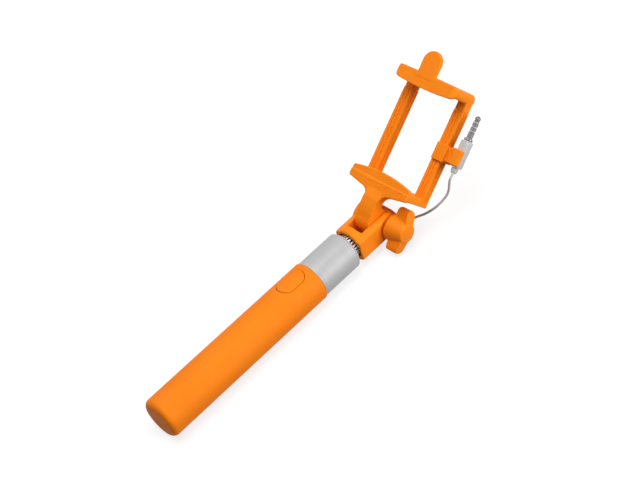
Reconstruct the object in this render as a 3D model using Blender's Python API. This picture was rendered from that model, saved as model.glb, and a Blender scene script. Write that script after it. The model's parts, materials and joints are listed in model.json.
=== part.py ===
"""Telescopic selfie stick with a wing-knob tilt head and a spring phone clamp, closed and at rest.

The stick runs along +Y from its closed end at the origin and lies on its back: +Z is the front, where
the shutter button is, and +X is the side of the wing knob. Sizes are in metres.
"""

import math

import bmesh
import bpy
from mathutils import Matrix, Vector

for old in list(bpy.data.objects):
    bpy.data.objects.remove(old, do_unlink=True)

# General fits
GAP = 0.0003
SLIDE_GAP = 0.0001
CUT_MARGIN = 0.004
FINE_STEPS = 48
STEPS = 32
SMALL_STEPS = 20
SMOOTH_ANGLE = math.radians(35)

# Grip
GRIP_RADIUS = 0.0125
GRIP_LENGTH = 0.119
GRIP_WALL = 0.0014
GRIP_END_WALL = 0.003
GRIP_END_ROUND = 0.0035
GRIP_MOUTH_ROUND = 0.0004

# Shutter button and the switch below it
BUTTON_BELOW_MOUTH = 0.013
BUTTON_LENGTH = 0.018
BUTTON_WIDTH = 0.0112
BUTTON_PROUD = 0.0003
BUTTON_TRAVEL = 0.0006
BOARD_LENGTH = 0.017
BOARD_WIDTH = 0.0096
BOARD_THICK = 0.0008
SWITCH_SIDE = 0.0044
SWITCH_HEIGHT = 0.0005
SWITCH_STEM_RADIUS = 0.001
SWITCH_STEM_HEIGHT = 0.0002

# Core, fixed tube and silver collar
TUBE_RADIUS = 0.0079
TUBE_WALL = 0.0006
TUBE_FOOT = 0.008
END_PLUG_HEIGHT = 0.0038
COLLAR_RADIUS = 0.0119
COLLAR_LENGTH = 0.0287
COLLAR_LIP = 0.0012
COLLAR_CHAMFER = 0.0014

# Telescopic sections
SECTION_COUNT = 5
SECTION_WALL = 0.0005
SECTION_FOOT = 0.018
BUSH_LENGTH = 0.006
BUSH_STEP = 0.001
LEAD_COIL_LENGTH = 0.096

# Ribbed ring and fork
RING_RADIUS = 0.0072
RING_ROOT = 0.0066
RING_RIBS = 22
RING_HEIGHT = 0.0036
RING_BAND = 0.0009
SKIRT_RISE = 0.0028
SKIRT_RADIUS = 0.011
SKIRT_BORE = 0.0086
SKIRT_HEIGHT = 0.0055
SKIRT_DEPTH = 0.0032
SKIRT_ROUND = 0.0008
SKIRT_FOOT_ROUND = 0.0018
SKIRT_FLAT = 0.0001
SLOT_RISE = 0.0067
SLOT_WIDTH = 0.0116
FORK_WIDTH = 0.020
FORK_DEPTH = 0.016
FORK_CORNER = 0.0028
BOSS_RADIUS = 0.0110
BOSS_ROUND = 0.0016
BOSS_FORWARD = 0.001
BOSS_DOWN = 0.0018
GRUB_RADIUS = 0.001
GRUB_RISE = 0.0048
GROMMET_RADIUS = 0.00125
GROMMET_HEIGHT = 0.0024
GROMMET_X = 0.0015

# Pivot screw, nut, washer and wing knob
SCREW_RADIUS = 0.0024
SCREW_GRIP = 0.0048
NUT_FLATS = 0.008
NUT_HEIGHT = 0.0031
WASHER_RADIUS = 0.0052
WASHER_THICK = 0.001
HUB_RADIUS = 0.0083
HUB_TOP_RADIUS = 0.0062
HUB_FLANGE = 0.0012
HUB_LENGTH = 0.0120
HUB_DOME = 0.0013
WING_ANGLE = math.radians(47)
WING_REACH = 0.0132
WING_THICK = 0.007
WING_CORNER = 0.0027
WING_START = 0.0020
WING_SLOPE = 0.0026

# Clamp: tilt at rest, jaws and stem
CLAMP_TILT = math.radians(37)
TONGUE_RADIUS = 0.0152
TONGUE_CLEARANCE = 0.0031
TONGUE_ROUND = 0.008
TONGUE_HEEL = 0.0083
NECK_BACK = 0.0097
NECK_WAIST = 0.0102
NECK_ROUND = 0.0049
NOSE_BULGE = 0.0012
JAW_HALF = 0.02295
JAW_BACK = 0.006
JAW_FRONT = 0.0150
LIP_THICK = 0.003
LIP_STEP = 0.0004
JAW_CORNER = 0.0016
STEM_FILLET = 0.0055
SHELF_UNDER = 0.0154
SHELF_THICK = 0.0066
SHELF_THICK_END = 0.0048
SEAT_DEPTH = 0.0013
LIP_DROP = 0.0074
LIP_DROP_END = 0.0056
LIP_RISE = 0.0043
LIP_RISE_END = 0.0020
LIP_END_ROUND = 0.0022

# Guide tubes, legs and jaw springs
GUIDE_WIDTH = 0.0069
GUIDE_DEPTH = 0.0064
GUIDE_WALL = 0.00075
GUIDE_LENGTH = 0.0552
GUIDE_FLOOR = 0.0025
FLUTE_WIDTH = 0.0008
FLUTE_DEPTH = 0.0004
FLUTE_SPACING = 0.0022
LEG_LENGTH = 0.0360
SPRING_RADIUS = 0.0018

# Upper jaw
ROOT_HEIGHT = 0.0049
ROOT_CORNER = 0.0006
ROOT_INSET = 0.00015
UPPER_THICK = 0.0066
UPPER_TOP_FALL = 0.0002
UPPER_LIP_DROP = 0.0023
UPPER_LIP_DROP_END = 0.0009
UPPER_END_ROUND = 0.0032
UPPER_CORNER = 0.0034
TAB_RADIUS = 0.0067
TAB_SIDE = -0.0010
TAB_WAIST = 0.0004
TAB_HEIGHT = 0.0136
TAB_THICK = 0.0026
TAB_FORWARD = 0.0002
TAB_OVERLAP = 0.003

# Plug clip, plug and lead
CLIP_FOOT = 0.0455
CLIP_HEIGHT = 0.010
CLIP_WALL = 0.0015
PLUG_OUT = 0.0125
PLUG_WIDTH = 0.0062
PLUG_DEPTH = 0.0064
PLUG_CORNER = 0.0021
PLUG_RISE = 0.0007
PLUG_LENGTH = 0.0161
HOLDER_WALL = 0.0013
HOLDER_ARM = 0.0030
HOLDER_BACK_ARM = 0.0003
SLEEVE_ARM = 0.0006
RELIEF_LENGTH = 0.0034
RELIEF_RADIUS = 0.0021
RELIEF_TIP_RADIUS = 0.0015
FLANGE_RADIUS = 0.0026
FLANGE_HEIGHT = 0.0014
JACK_RADIUS = 0.00175
JACK_CORE_RADIUS = 0.001
JACK_BAND = 0.0007
JACK_SLEEVE = 0.0042
JACK_RING = 0.002
JACK_TIP = 0.0035
CABLE_RADIUS = 0.00075
CABLE_STEP = 0.0045

# Places that follow from the sizes above
BUTTON_CENTRE = GRIP_LENGTH - BUTTON_BELOW_MOUTH
COLLAR_FOOT = GRIP_LENGTH + GAP
COLLAR_TOP = COLLAR_FOOT + COLLAR_LENGTH
SKIRT_FOOT = COLLAR_TOP + SKIRT_RISE
SLOT_FLOOR = SKIRT_FOOT + SLOT_RISE
PIVOT_Y = SLOT_FLOOR + TONGUE_CLEARANCE + TONGUE_RADIUS
FORK_SIDE = FORK_WIDTH / 2
EAR_RADIUS = FORK_DEPTH / 2
GUIDE_V = GUIDE_DEPTH / 2 - JAW_BACK
SHELF_TOP = SHELF_UNDER + SHELF_THICK
SHELF_UNDER_END = SHELF_TOP - SHELF_THICK_END
LIP_UNDER = SHELF_TOP - LIP_DROP
LIP_UNDER_END = SHELF_TOP - LIP_DROP_END
LIP_TOP = SHELF_TOP + LIP_RISE
LIP_TOP_END = SHELF_TOP + LIP_RISE_END
GUIDE_X = JAW_HALF - GUIDE_WIDTH / 2
SEAT_TOP = SHELF_TOP - SEAT_DEPTH
GUIDE_FOOT = SEAT_TOP + SLIDE_GAP
GUIDE_TOP = GUIDE_FOOT + GUIDE_LENGTH
ROOT_FOOT = GUIDE_TOP + SLIDE_GAP
UPPER_UNDER = ROOT_FOOT + ROOT_HEIGHT
UPPER_TOP = UPPER_UNDER + UPPER_THICK
UPPER_TOP_END = UPPER_TOP - UPPER_TOP_FALL
UPPER_LIP_LOW = UPPER_UNDER - UPPER_LIP_DROP
UPPER_LIP_END = UPPER_UNDER - UPPER_LIP_DROP_END
LEG_FOOT = ROOT_FOOT - SLIDE_GAP - LEG_LENGTH
TAB_TOP = UPPER_TOP + TAB_HEIGHT
PLUG_X = GUIDE_X + PLUG_OUT
PLUG_FOOT = CLIP_FOOT + PLUG_RISE
PLUG_TOP = PLUG_FOOT + PLUG_LENGTH
STEM_HALF = SLOT_WIDTH / 2 - GAP
LIP_BACK = JAW_FRONT - LIP_THICK
WASHER_X = FORK_SIDE + GAP / 2
HUB_X = WASHER_X + WASHER_THICK + GAP / 2
JACK_FOOT = PLUG_TOP + GAP + FLANGE_HEIGHT

# Finishes: colour, roughness, metallic
ORANGE_SOFT = ((0.90, 0.23, 0.01), 0.55, 0.0)
ORANGE = ((0.90, 0.24, 0.012), 0.42, 0.0)
SILVER = ((0.60, 0.60, 0.61), 0.38, 0.9)
CHROME = ((0.78, 0.79, 0.80), 0.15, 1.0)
STEEL = ((0.55, 0.56, 0.58), 0.3, 1.0)
BLACK = ((0.03, 0.03, 0.032), 0.5, 0.0)
BOARD_GREEN = ((0.03, 0.16, 0.07), 0.5, 0.0)
GREY = ((0.55, 0.56, 0.57), 0.5, 0.0)


def finished(obj, finish):
    """Give one piece its own material and smooth its round faces."""
    colour, roughness, metallic = finish
    made = bpy.data.materials.new(obj.name)
    made.use_nodes = True
    shader = made.node_tree.nodes["Principled BSDF"]
    shader.inputs["Base Color"].default_value = (*colour, 1.0)
    shader.inputs["Roughness"].default_value = roughness
    shader.inputs["Metallic"].default_value = metallic
    obj.data.materials.append(made)
    if obj.type == "MESH":
        obj.data.shade_smooth()
        obj.data.set_sharp_from_angle(angle=SMOOTH_ANGLE)
    return obj


def placed(name, shape, parent):
    """Turn a bmesh into a named object under its frame."""
    bmesh.ops.recalc_face_normals(shape, faces=shape.faces)
    mesh = bpy.data.meshes.new(name)
    shape.to_mesh(mesh)
    shape.free()
    obj = bpy.data.objects.new(name, mesh)
    bpy.context.collection.objects.link(obj)
    obj.parent = parent
    return obj


def frame_at(name, location, tilt=0.0):
    """An empty whose X axis is the tilt head's axis, turned about it by tilt."""
    empty = bpy.data.objects.new(name, None)
    bpy.context.collection.objects.link(empty)
    empty.location = location
    empty.rotation_euler = (tilt, 0.0, 0.0)
    return empty


def arc(centre, radius, start, end, count):
    """Points on a circle from one angle to another, in degrees, both ends included."""
    points = []
    for i in range(count + 1):
        angle = math.radians(start + (end - start) * i / count)
        points.append((centre[0] + radius * math.cos(angle), centre[1] + radius * math.sin(angle)))
    return points


def turned(name, profile, steps, parent=None, centre=(0.0, 0.0), closed=True, along_x=False):
    """Spin a profile of (radius, height) about a line along Y through centre (x, z), or about X."""
    shape = bmesh.new()
    corners = [shape.verts.new((radius, height, 0.0)) for radius, height in profile]
    lines = [shape.edges.new(pair) for pair in zip(corners, corners[1:])]
    if closed:
        lines.append(shape.edges.new((corners[-1], corners[0])))
    bmesh.ops.spin(
        shape, geom=corners + lines, axis=(0, 1, 0), cent=(0, 0, 0), angle=math.tau, steps=steps, use_merge=True
    )
    bmesh.ops.remove_doubles(shape, verts=shape.verts, dist=1e-7)
    if along_x:
        quarter_turn = Matrix.Rotation(-math.pi / 2, 3, "Z")
        bmesh.ops.rotate(shape, verts=shape.verts, cent=(0, 0, 0), matrix=quarter_turn)
    bmesh.ops.translate(shape, verts=shape.verts, vec=(centre[0], 0.0, centre[1]))
    return placed(name, shape, parent)


def ring(name, outer, inner, low, high, steps, parent=None, centre=(0.0, 0.0)):
    """A plain tube along Y."""
    profile = [(outer, high), (outer, low), (inner, low), (inner, high)]
    return turned(name, profile, steps, parent, centre)


def rod(name, radius, low, high, steps, parent=None, centre=(0.0, 0.0)):
    """A plain round bar along Y."""
    profile = [(0.0, high), (radius, high), (radius, low), (0.0, low)]
    return turned(name, profile, steps, parent, centre, closed=False)


def prism(name, outline, plane, low, high, parent=None):
    """Extrude a flat outline along the axis across its plane, which two of the letters XYZ name."""
    first = "XYZ".index(plane[0])
    second = "XYZ".index(plane[1])
    across = 3 - first - second
    shape = bmesh.new()
    corners = []
    for a, b in outline:
        point = [0.0, 0.0, 0.0]
        point[first] = a
        point[second] = b
        point[across] = low
        corners.append(shape.verts.new(point))
    face = shape.faces.new(corners)
    lifted = bmesh.ops.extrude_face_region(shape, geom=[face])["geom"]
    shift = [0.0, 0.0, 0.0]
    shift[across] = high - low
    bmesh.ops.translate(shape, verts=[v for v in lifted if isinstance(v, bmesh.types.BMVert)], vec=shift)
    return placed(name, shape, parent)


def block(name, low, high, parent=None):
    """A box between two corners."""
    size = Vector(high) - Vector(low)
    middle = (Vector(high) + Vector(low)) / 2
    shape = bmesh.new()
    bmesh.ops.create_cube(shape, size=1.0, matrix=Matrix.Translation(middle) @ Matrix.Diagonal((*size, 1.0)))
    return placed(name, shape, parent)


def x_rod(name, radius, low, high, steps, parent):
    """A round bar along X on the frame's own axis."""
    return prism(name, arc((0.0, 0.0), radius, 0, 360 - 360 / steps, steps - 1), "ZY", low, high, parent)


def combine(obj, tool, operation):
    """Cut a tool out of a piece, or join it on, and put the tool away."""
    step = obj.modifiers.new(tool.name, "BOOLEAN")
    step.operation = operation
    step.solver = "EXACT"
    step.object = tool
    tool.hide_render = True
    tool.display_type = "WIRE"
    return obj


def cut(obj, tool):
    return combine(obj, tool, "DIFFERENCE")


def join(obj, tool):
    return combine(obj, tool, "UNION")


def rounded(half_width, half_height, corner, count, centre=(0.0, 0.0)):
    """A rectangle with round corners."""
    points = []
    for side, (sx, sy) in enumerate(((1, 1), (-1, 1), (-1, -1), (1, -1))):
        middle = (centre[0] + sx * (half_width - corner), centre[1] + sy * (half_height - corner))
        points += arc(middle, corner, 90 * side, 90 * side + 90, count)
    return points


def stadium(half_length, half_width, count, centre):
    """An oblong with half-round ends, long in its second direction."""
    straight = half_length - half_width
    points = arc((centre[0], centre[1] + straight), half_width, 0, 180, count)
    points += arc((centre[0], centre[1] - straight), half_width, 180, 360, count)
    return points


def mirrored(right_side):
    """Close a half outline that starts and ends near the middle by repeating it on the left."""
    return right_side + [(-x, y) for x, y in reversed(right_side) if x > 1e-9]


# Frames: the stick's own axis, the tilt axis with the clamp, and the knob on the same axis
stick = frame_at("stick_frame", (0.0, 0.0, 0.0))
head = frame_at("head_frame", (0.0, PIVOT_Y, 0.0))
clamp = frame_at("clamp_frame", (0.0, PIVOT_Y, 0.0), CLAMP_TILT)

knob_frame = frame_at("knob_frame", (0.0, PIVOT_Y, 0.0), WING_ANGLE)

# Grip sleeve: a closed soft tube with a hole for the button
grip_bore = GRIP_RADIUS - GRIP_WALL
profile = [(0.0, 0.0)]
profile += arc((GRIP_RADIUS - GRIP_END_ROUND, GRIP_END_ROUND), GRIP_END_ROUND, -90, 0, 5)
profile += arc((GRIP_RADIUS - GRIP_MOUTH_ROUND, GRIP_LENGTH - GRIP_MOUTH_ROUND), GRIP_MOUTH_ROUND, 0, 90, 2)
profile += [(grip_bore, GRIP_LENGTH), (grip_bore, GRIP_END_WALL), (0.0, GRIP_END_WALL)]
grip = turned("grip_sleeve", profile, FINE_STEPS, stick, closed=False)
button_spot = (0.0, BUTTON_CENTRE)
hole = stadium(BUTTON_LENGTH / 2 + GAP, BUTTON_WIDTH / 2 + GAP, 8, button_spot)
cut(grip, prism("button_hole", hole, "XY", 0.0, GRIP_RADIUS + CUT_MARGIN, stick))
finished(grip, ORANGE_SOFT)

# Fixed tube that the sections slide in, and the plug below it
ring("outer_tube", TUBE_RADIUS, TUBE_RADIUS - TUBE_WALL, TUBE_FOOT, COLLAR_TOP - GAP, STEPS, stick)
finished(bpy.data.objects["outer_tube"], STEEL)
core_bore = TUBE_RADIUS + GAP
plug_low = GRIP_END_WALL + GAP
finished(rod("end_plug", TUBE_RADIUS, plug_low, plug_low + END_PLUG_HEIGHT, STEPS, stick), BLACK)

# Core between tube and grip, with a window for the switch
core = ring("handle_core", grip_bore - GAP, core_bore, plug_low, COLLAR_TOP - COLLAR_LIP - GAP, FINE_STEPS, stick)
window_half = BUTTON_WIDTH / 2 + 3 * GAP
window_reach = BUTTON_LENGTH / 2 + 4 * GAP
window = block(
    "switch_window",
    (-window_half, BUTTON_CENTRE - window_reach, 0.0),
    (window_half, BUTTON_CENTRE + window_reach, GRIP_RADIUS),
    stick,
)
finished(cut(core, window), BLACK)

# Switch board on the tube, the switch on it and the button above
board_low = TUBE_RADIUS + GAP
board_top = board_low + BOARD_THICK
board = block(
    "switch_board",
    (-BOARD_WIDTH / 2, BUTTON_CENTRE - BOARD_LENGTH / 2, board_low),
    (BOARD_WIDTH / 2, BUTTON_CENTRE + BOARD_LENGTH / 2, board_top),
    stick,
)
finished(board, BOARD_GREEN)
switch_low = board_top + SLIDE_GAP
switch_top = switch_low + SWITCH_HEIGHT
switch_half = SWITCH_SIDE / 2
switch = block(
    "tact_switch",
    (-switch_half, BUTTON_CENTRE - switch_half, switch_low),
    (switch_half, BUTTON_CENTRE + switch_half, switch_top),
    stick,
)
stem_top = switch_top + SWITCH_STEM_HEIGHT
stem_outline = arc(button_spot, SWITCH_STEM_RADIUS, 0, 330, 11)
join(switch, prism("switch_stem", stem_outline, "XY", switch_low + SLIDE_GAP, stem_top, stick))
finished(switch, BLACK)
button_low = stem_top + SLIDE_GAP + BUTTON_TRAVEL
oblong = stadium(BUTTON_LENGTH / 2, BUTTON_WIDTH / 2, 8, button_spot)
button = prism("shutter_button", oblong, "XY", button_low, GRIP_RADIUS + CUT_MARGIN, stick)
crown = rod("button_crown", GRIP_RADIUS + BUTTON_PROUD, 0.0, GRIP_LENGTH, FINE_STEPS, stick)
finished(combine(button, crown, "INTERSECT"), ORANGE_SOFT)

# Silver collar over the core, with a lip that closes it round the tube
collar_bore = grip_bore
lip_foot = COLLAR_TOP - COLLAR_LIP
profile = [
    (core_bore, COLLAR_TOP),
    (COLLAR_RADIUS - COLLAR_CHAMFER, COLLAR_TOP),
    (COLLAR_RADIUS, COLLAR_TOP - COLLAR_CHAMFER),
    (COLLAR_RADIUS, COLLAR_FOOT),
    (collar_bore, COLLAR_FOOT),
    (collar_bore, lip_foot),
    (core_bore, lip_foot),
]
finished(turned("collar", profile, FINE_STEPS, stick), SILVER)

# Telescopic sections, each with a friction bush below its foot
bore = TUBE_RADIUS - TUBE_WALL
for number in range(1, SECTION_COUNT + 1):
    outside = bore - GAP
    inside = outside - SECTION_WALL
    foot = SECTION_FOOT + (number - 1) * (BUSH_LENGTH + BUSH_STEP)
    innermost = number == SECTION_COUNT
    section_top = SLOT_FLOOR - GAP - SECTION_WALL if innermost else COLLAR_TOP
    section = ring(f"section_{number}", outside, inside, foot, section_top, STEPS, stick)
    finished(section, CHROME)
    bush = ring(f"bush_{number}", bore - SLIDE_GAP, inside, foot - BUSH_LENGTH, foot - SLIDE_GAP, STEPS, stick)
    finished(bush, BLACK)
    bore = inside
lead_coil_top = SLOT_FLOOR - GAP - SECTION_WALL
lead_coil = rod("lead_coil", inside - 2 * GAP, lead_coil_top - LEAD_COIL_LENGTH, lead_coil_top, STEPS, stick)
finished(lead_coil, GREY)

# Ribbed ring on the innermost section
rib_points = []
for i in range(RING_RIBS):
    for step, radius in ((0.0, RING_RADIUS), (0.45, RING_RADIUS), (0.55, RING_ROOT), (0.9, RING_ROOT)):
        angle = math.tau * (i + step) / RING_RIBS
        rib_points.append((radius * math.cos(angle), radius * math.sin(angle)))
ring_low = COLLAR_TOP + GAP
ribbed = prism("ribbed_ring", rib_points, "XZ", ring_low, ring_low + RING_HEIGHT, stick)
ring_bore = rod("ring_bore", outside + GAP, ring_low - CUT_MARGIN, ring_low + CUT_MARGIN + RING_HEIGHT, STEPS, stick)
join(ribbed, rod("ring_band", RING_RADIUS, ring_low, ring_low + RING_BAND, RING_RIBS * 4, stick))
finished(cut(ribbed, ring_bore), CHROME)

# Fork: ears with round ends on a hollow skirt, whose sides are flat where the ears run down them
fork_foot = SKIRT_FOOT - FORK_CORNER / 2
ear_outline = [(-EAR_RADIUS, fork_foot)]
ear_outline += arc((0.0, PIVOT_Y), EAR_RADIUS, 180, 0, 16)
ear_outline += [(EAR_RADIUS, fork_foot)]
yoke = prism("yoke", ear_outline, "ZY", -FORK_SIDE, FORK_SIDE, stick)
soften = yoke.modifiers.new("round_corners", "BEVEL")
soften.width = FORK_CORNER
soften.segments = 4
soften.limit_method = "ANGLE"
soften.angle_limit = math.radians(60)
boss_outline = arc((BOSS_FORWARD, -BOSS_DOWN), BOSS_RADIUS, 0, 350, 35)
boss = prism("ear_boss", boss_outline, "ZY", -FORK_SIDE, -SLOT_WIDTH / 2, head)
boss_edge = boss.modifiers.new("round_edge", "BEVEL")
boss_edge.width = BOSS_ROUND
boss_edge.segments = 2
boss_edge.limit_method = "ANGLE"
boss_edge.angle_limit = math.radians(60)
join(yoke, boss)
skirt_top = SKIRT_FOOT + SKIRT_HEIGHT
skirt_in = SKIRT_FOOT + SKIRT_DEPTH
profile = [(0.0, skirt_top + SKIRT_ROUND)]
profile += [(SKIRT_RADIUS - 3 * SKIRT_ROUND, skirt_top + SKIRT_ROUND)]
profile += arc((SKIRT_RADIUS - SKIRT_ROUND, skirt_top - SKIRT_ROUND), SKIRT_ROUND, 90, 0, 3)
foot_round = (SKIRT_RADIUS - SKIRT_FOOT_ROUND, SKIRT_FOOT + SKIRT_FOOT_ROUND)
profile += arc(foot_round, SKIRT_FOOT_ROUND, 0, -90, 5) + [(0.0, SKIRT_FOOT)]
skirt = turned("fork_skirt", profile, FINE_STEPS, stick, closed=False)
for sign in (-1, 1):
    flat = sorted((sign * (FORK_SIDE - SKIRT_FLAT), sign * (SKIRT_RADIUS + CUT_MARGIN)))
    flat_low = (flat[0], SKIRT_FOOT - CUT_MARGIN, -SKIRT_RADIUS)
    flat_high = (flat[1], skirt_top + CUT_MARGIN, SKIRT_RADIUS)
    cut(skirt, block(f"skirt_flat_{sign}", flat_low, flat_high, stick))
trim = SKIRT_RADIUS + CUT_MARGIN
cut(yoke, block("foot_trim", (-trim, fork_foot - CUT_MARGIN, -trim), (trim, SKIRT_FOOT + SKIRT_FLAT, trim), stick))
join(yoke, skirt)
cut(yoke, rod("skirt_recess", SKIRT_BORE, SKIRT_FOOT - CUT_MARGIN, skirt_in, FINE_STEPS, stick))
slot_half = SLOT_WIDTH / 2
slot_top = PIVOT_Y + EAR_RADIUS + CUT_MARGIN
slot_deep = SKIRT_RADIUS + CUT_MARGIN
cut(yoke, block("fork_slot", (-slot_half, SLOT_FLOOR, -slot_deep), (slot_half, slot_top, slot_deep), stick))
cut(yoke, rod("section_bore", outside + GAP, SKIRT_FOOT - CUT_MARGIN, SLOT_FLOOR - GAP, STEPS, stick))
bolt_hole = SCREW_RADIUS + GAP
cut(yoke, x_rod("yoke_bolt_hole", bolt_hole, -FORK_SIDE - CUT_MARGIN, FORK_SIDE + CUT_MARGIN, SMALL_STEPS, head))

# Hex nut sunk in the left ear
nut_round = NUT_FLATS / 2 / math.cos(math.pi / 6)
pocket_round = nut_round + GAP
nut_out = -FORK_SIDE + GAP / 2
nut_in = nut_out + NUT_HEIGHT
hexagon = arc((0.0, 0.0), pocket_round, 30, 330, 5)
cut(yoke, prism("nut_pocket", hexagon, "ZY", -FORK_SIDE - CUT_MARGIN, nut_in + GAP, head))
nut = prism("pivot_nut", arc((0.0, 0.0), nut_round, 30, 330, 5), "ZY", nut_out, nut_in, head)
cut(nut, x_rod("nut_bore", bolt_hole, nut_out - CUT_MARGIN, nut_in + CUT_MARGIN, SMALL_STEPS, head))
finished(nut, STEEL)

# Grub screw that holds the fork on the innermost section
grub_frame = frame_at("grub_frame", (0.0, SKIRT_FOOT + GRUB_RISE, 0.0))
grub_end = -outside - SLIDE_GAP
grub_hole = x_rod("grub_hole", GRUB_RADIUS + SLIDE_GAP, -SKIRT_RADIUS - CUT_MARGIN, -outside, 12, grub_frame)
cut(yoke, grub_hole)
finished(yoke, ORANGE)
grub_start = -FORK_SIDE + SKIRT_ROUND
finished(x_rod("grub_screw", GRUB_RADIUS, grub_start, grub_end, 12, grub_frame), STEEL)

# Grommet on the skirt's shoulder, behind the fork
grommet_low = skirt_top + SKIRT_ROUND + GAP
grommet_high = grommet_low + GROMMET_HEIGHT
grommet_z = -EAR_RADIUS - GROMMET_RADIUS - GAP
grommet = rod("lead_grommet", GROMMET_RADIUS, grommet_low, grommet_high, 12, stick, (GROMMET_X, grommet_z))
finished(grommet, GREY)

# Washer, and the wing knob with its screw
washer = x_rod("pivot_washer", WASHER_RADIUS, WASHER_X, WASHER_X + WASHER_THICK, STEPS, head)
cut(washer, x_rod("washer_bore", bolt_hole, 0.0, WASHER_X + CUT_MARGIN, SMALL_STEPS, head))
finished(washer, STEEL)
hub_end = HUB_X + HUB_LENGTH
rim = HUB_TOP_RADIUS - HUB_DOME
profile = [(0.0, hub_end + HUB_DOME / 3), (rim / 2, hub_end + HUB_DOME / 4)]
profile += arc((rim, hub_end - HUB_DOME), HUB_DOME, 90, 20, 4)
profile += [(HUB_RADIUS, HUB_X + HUB_FLANGE), (HUB_RADIUS, HUB_X), (0.0, HUB_X)]
knob = turned("wing_knob", profile, STEPS, knob_frame, closed=False, along_x=True)
wing = rounded(WING_THICK / 2, WING_REACH, WING_CORNER, 4)
wing_low = HUB_X + WING_START
wings = prism("knob_wings", wing, "ZY", wing_low, hub_end - HUB_DOME / 2, knob_frame)
for sign in (-1, 1):
    slope_outline = [(hub_end + CUT_MARGIN, sign * HUB_TOP_RADIUS / 2), (hub_end, sign * HUB_TOP_RADIUS / 2)]
    slope_outline += [(hub_end - HUB_DOME / 2 - WING_SLOPE, sign * (WING_REACH + CUT_MARGIN))]
    slope_outline += [(hub_end + CUT_MARGIN, sign * (WING_REACH + CUT_MARGIN))]
    slope = prism(f"wing_slope_{sign}", slope_outline, "XY", -WING_THICK, WING_THICK, knob_frame)
    cut(wings, slope)
join(knob, wings)
stud_end = HUB_X + SCREW_GRIP
cut(knob, x_rod("stud_socket", SCREW_RADIUS + SLIDE_GAP, 0.0, stud_end + SLIDE_GAP, SMALL_STEPS, knob_frame))
finished(knob, ORANGE)
screw = x_rod("pivot_screw", SCREW_RADIUS, nut_out + 2 * GAP, stud_end, SMALL_STEPS, knob_frame)
finished(screw, STEEL)

# Lower jaw: stem and shelf from one outline, the front lip from another, and a tongue round the pivot
shelf_side = [(0.0, SHELF_UNDER), (STEM_HALF + STEM_FILLET, SHELF_UNDER + GAP), (JAW_HALF, SHELF_UNDER_END)]
shelf_side += [(JAW_HALF, SHELF_TOP), (0.0, SHELF_TOP)]
lower = prism("lower_jaw", mirrored(shelf_side), "XY", -JAW_BACK, LIP_BACK + GAP, clamp)
fillet_centre = (STEM_HALF + STEM_FILLET, LIP_UNDER - STEM_FILLET)
stem_side = [(STEM_HALF, 0.0)] + arc(fillet_centre, STEM_FILLET, 180, 90, 8)
web_side = stem_side + [(STEM_HALF + STEM_FILLET, SHELF_TOP - GAP), (0.0, SHELF_TOP - GAP)]
join(lower, prism("stem_web", mirrored(web_side), "XY", NECK_BACK, LIP_BACK + 2 * GAP, clamp))
end_x = JAW_HALF - LIP_END_ROUND
lip_side = stem_side + arc((end_x, LIP_UNDER_END + LIP_END_ROUND), LIP_END_ROUND, -85, 0, 4)
lip_side += arc((end_x, LIP_TOP_END - LIP_END_ROUND), LIP_END_ROUND, 0, 75, 4)
for i in range(5, 0, -1):
    share = i / 6
    lip_side.append((end_x * share, LIP_TOP - (LIP_TOP - LIP_TOP_END) * share**2))
lip_side.append((0.0, LIP_TOP))
join(lower, prism("jaw_lip", mirrored(lip_side), "XY", LIP_BACK, JAW_FRONT, clamp))
far = JAW_HALF + CUT_MARGIN
notch_in = GUIDE_X - GUIDE_WIDTH / 2 - GAP
notch_front = GUIDE_V + GUIDE_DEPTH / 2 + GAP
for sign in (-1, 1):
    reach = sorted((sign * notch_in, sign * far))
    low = (reach[0], SEAT_TOP, -JAW_BACK - CUT_MARGIN)
    notch = block(f"guide_notch_{sign}", low, (reach[1], LIP_TOP + CUT_MARGIN, notch_front), clamp)
    cut(lower, notch)


def plan_outline(corner, inset):
    """A jaw's outline seen from above, with round front corners."""
    half = JAW_HALF - inset
    front = JAW_FRONT - inset
    round_off = corner - inset
    outline = [(-half, -JAW_BACK - CUT_MARGIN), (half, -JAW_BACK - CUT_MARGIN)]
    outline += arc((half - round_off, front - round_off), round_off, 0, 90, 6)
    outline += arc((round_off - half, front - round_off), round_off, 90, 180, 6)
    return outline


def outside_plan(name, corner, inset, low, high):
    """A cutter that takes away what stands outside a jaw's outline."""
    back = -JAW_BACK - 2 * CUT_MARGIN
    cutter = block(name, (-far, low, back), (far, high, JAW_FRONT + CUT_MARGIN), clamp)
    plan = plan_outline(corner, inset)
    keep = prism(f"{name}_keep", plan, "XZ", low - CUT_MARGIN, high + CUT_MARGIN, clamp)
    back_keep = (-far - CUT_MARGIN, low - CUT_MARGIN, back - CUT_MARGIN)
    cut(cutter, block(f"{name}_back", back_keep, (far + CUT_MARGIN, high + CUT_MARGIN, -JAW_BACK), clamp))
    return cut(cutter, keep)


cut(lower, outside_plan("lower_corners", JAW_CORNER, 0.0, LIP_UNDER - CUT_MARGIN, SEAT_TOP + GAP))
cut(lower, outside_plan("lip_step", JAW_CORNER, LIP_STEP, SEAT_TOP, LIP_TOP + CUT_MARGIN))
nose = JAW_FRONT + NOSE_BULGE
toe_v = nose - TONGUE_ROUND - NOSE_BULGE
toe_u = -math.sqrt(max((TONGUE_RADIUS - TONGUE_ROUND) ** 2 - toe_v**2, 0.0))
nose_top = LIP_UNDER + STEM_FILLET / 2
tongue = [(JAW_FRONT - GAP, nose_top), (nose, NECK_WAIST), (nose, NECK_WAIST / 2)]
tongue += [(nose - NOSE_BULGE / 3, NECK_WAIST / 6)]
tongue += arc((toe_v, toe_u), TONGUE_ROUND, 0, -90, 8)
tongue += arc((0.0, 0.0), TONGUE_HEEL, -90, -310, 18)
tongue += arc((NECK_BACK - NECK_ROUND, NECK_WAIST), NECK_ROUND, -40, 90, 8)
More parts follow.
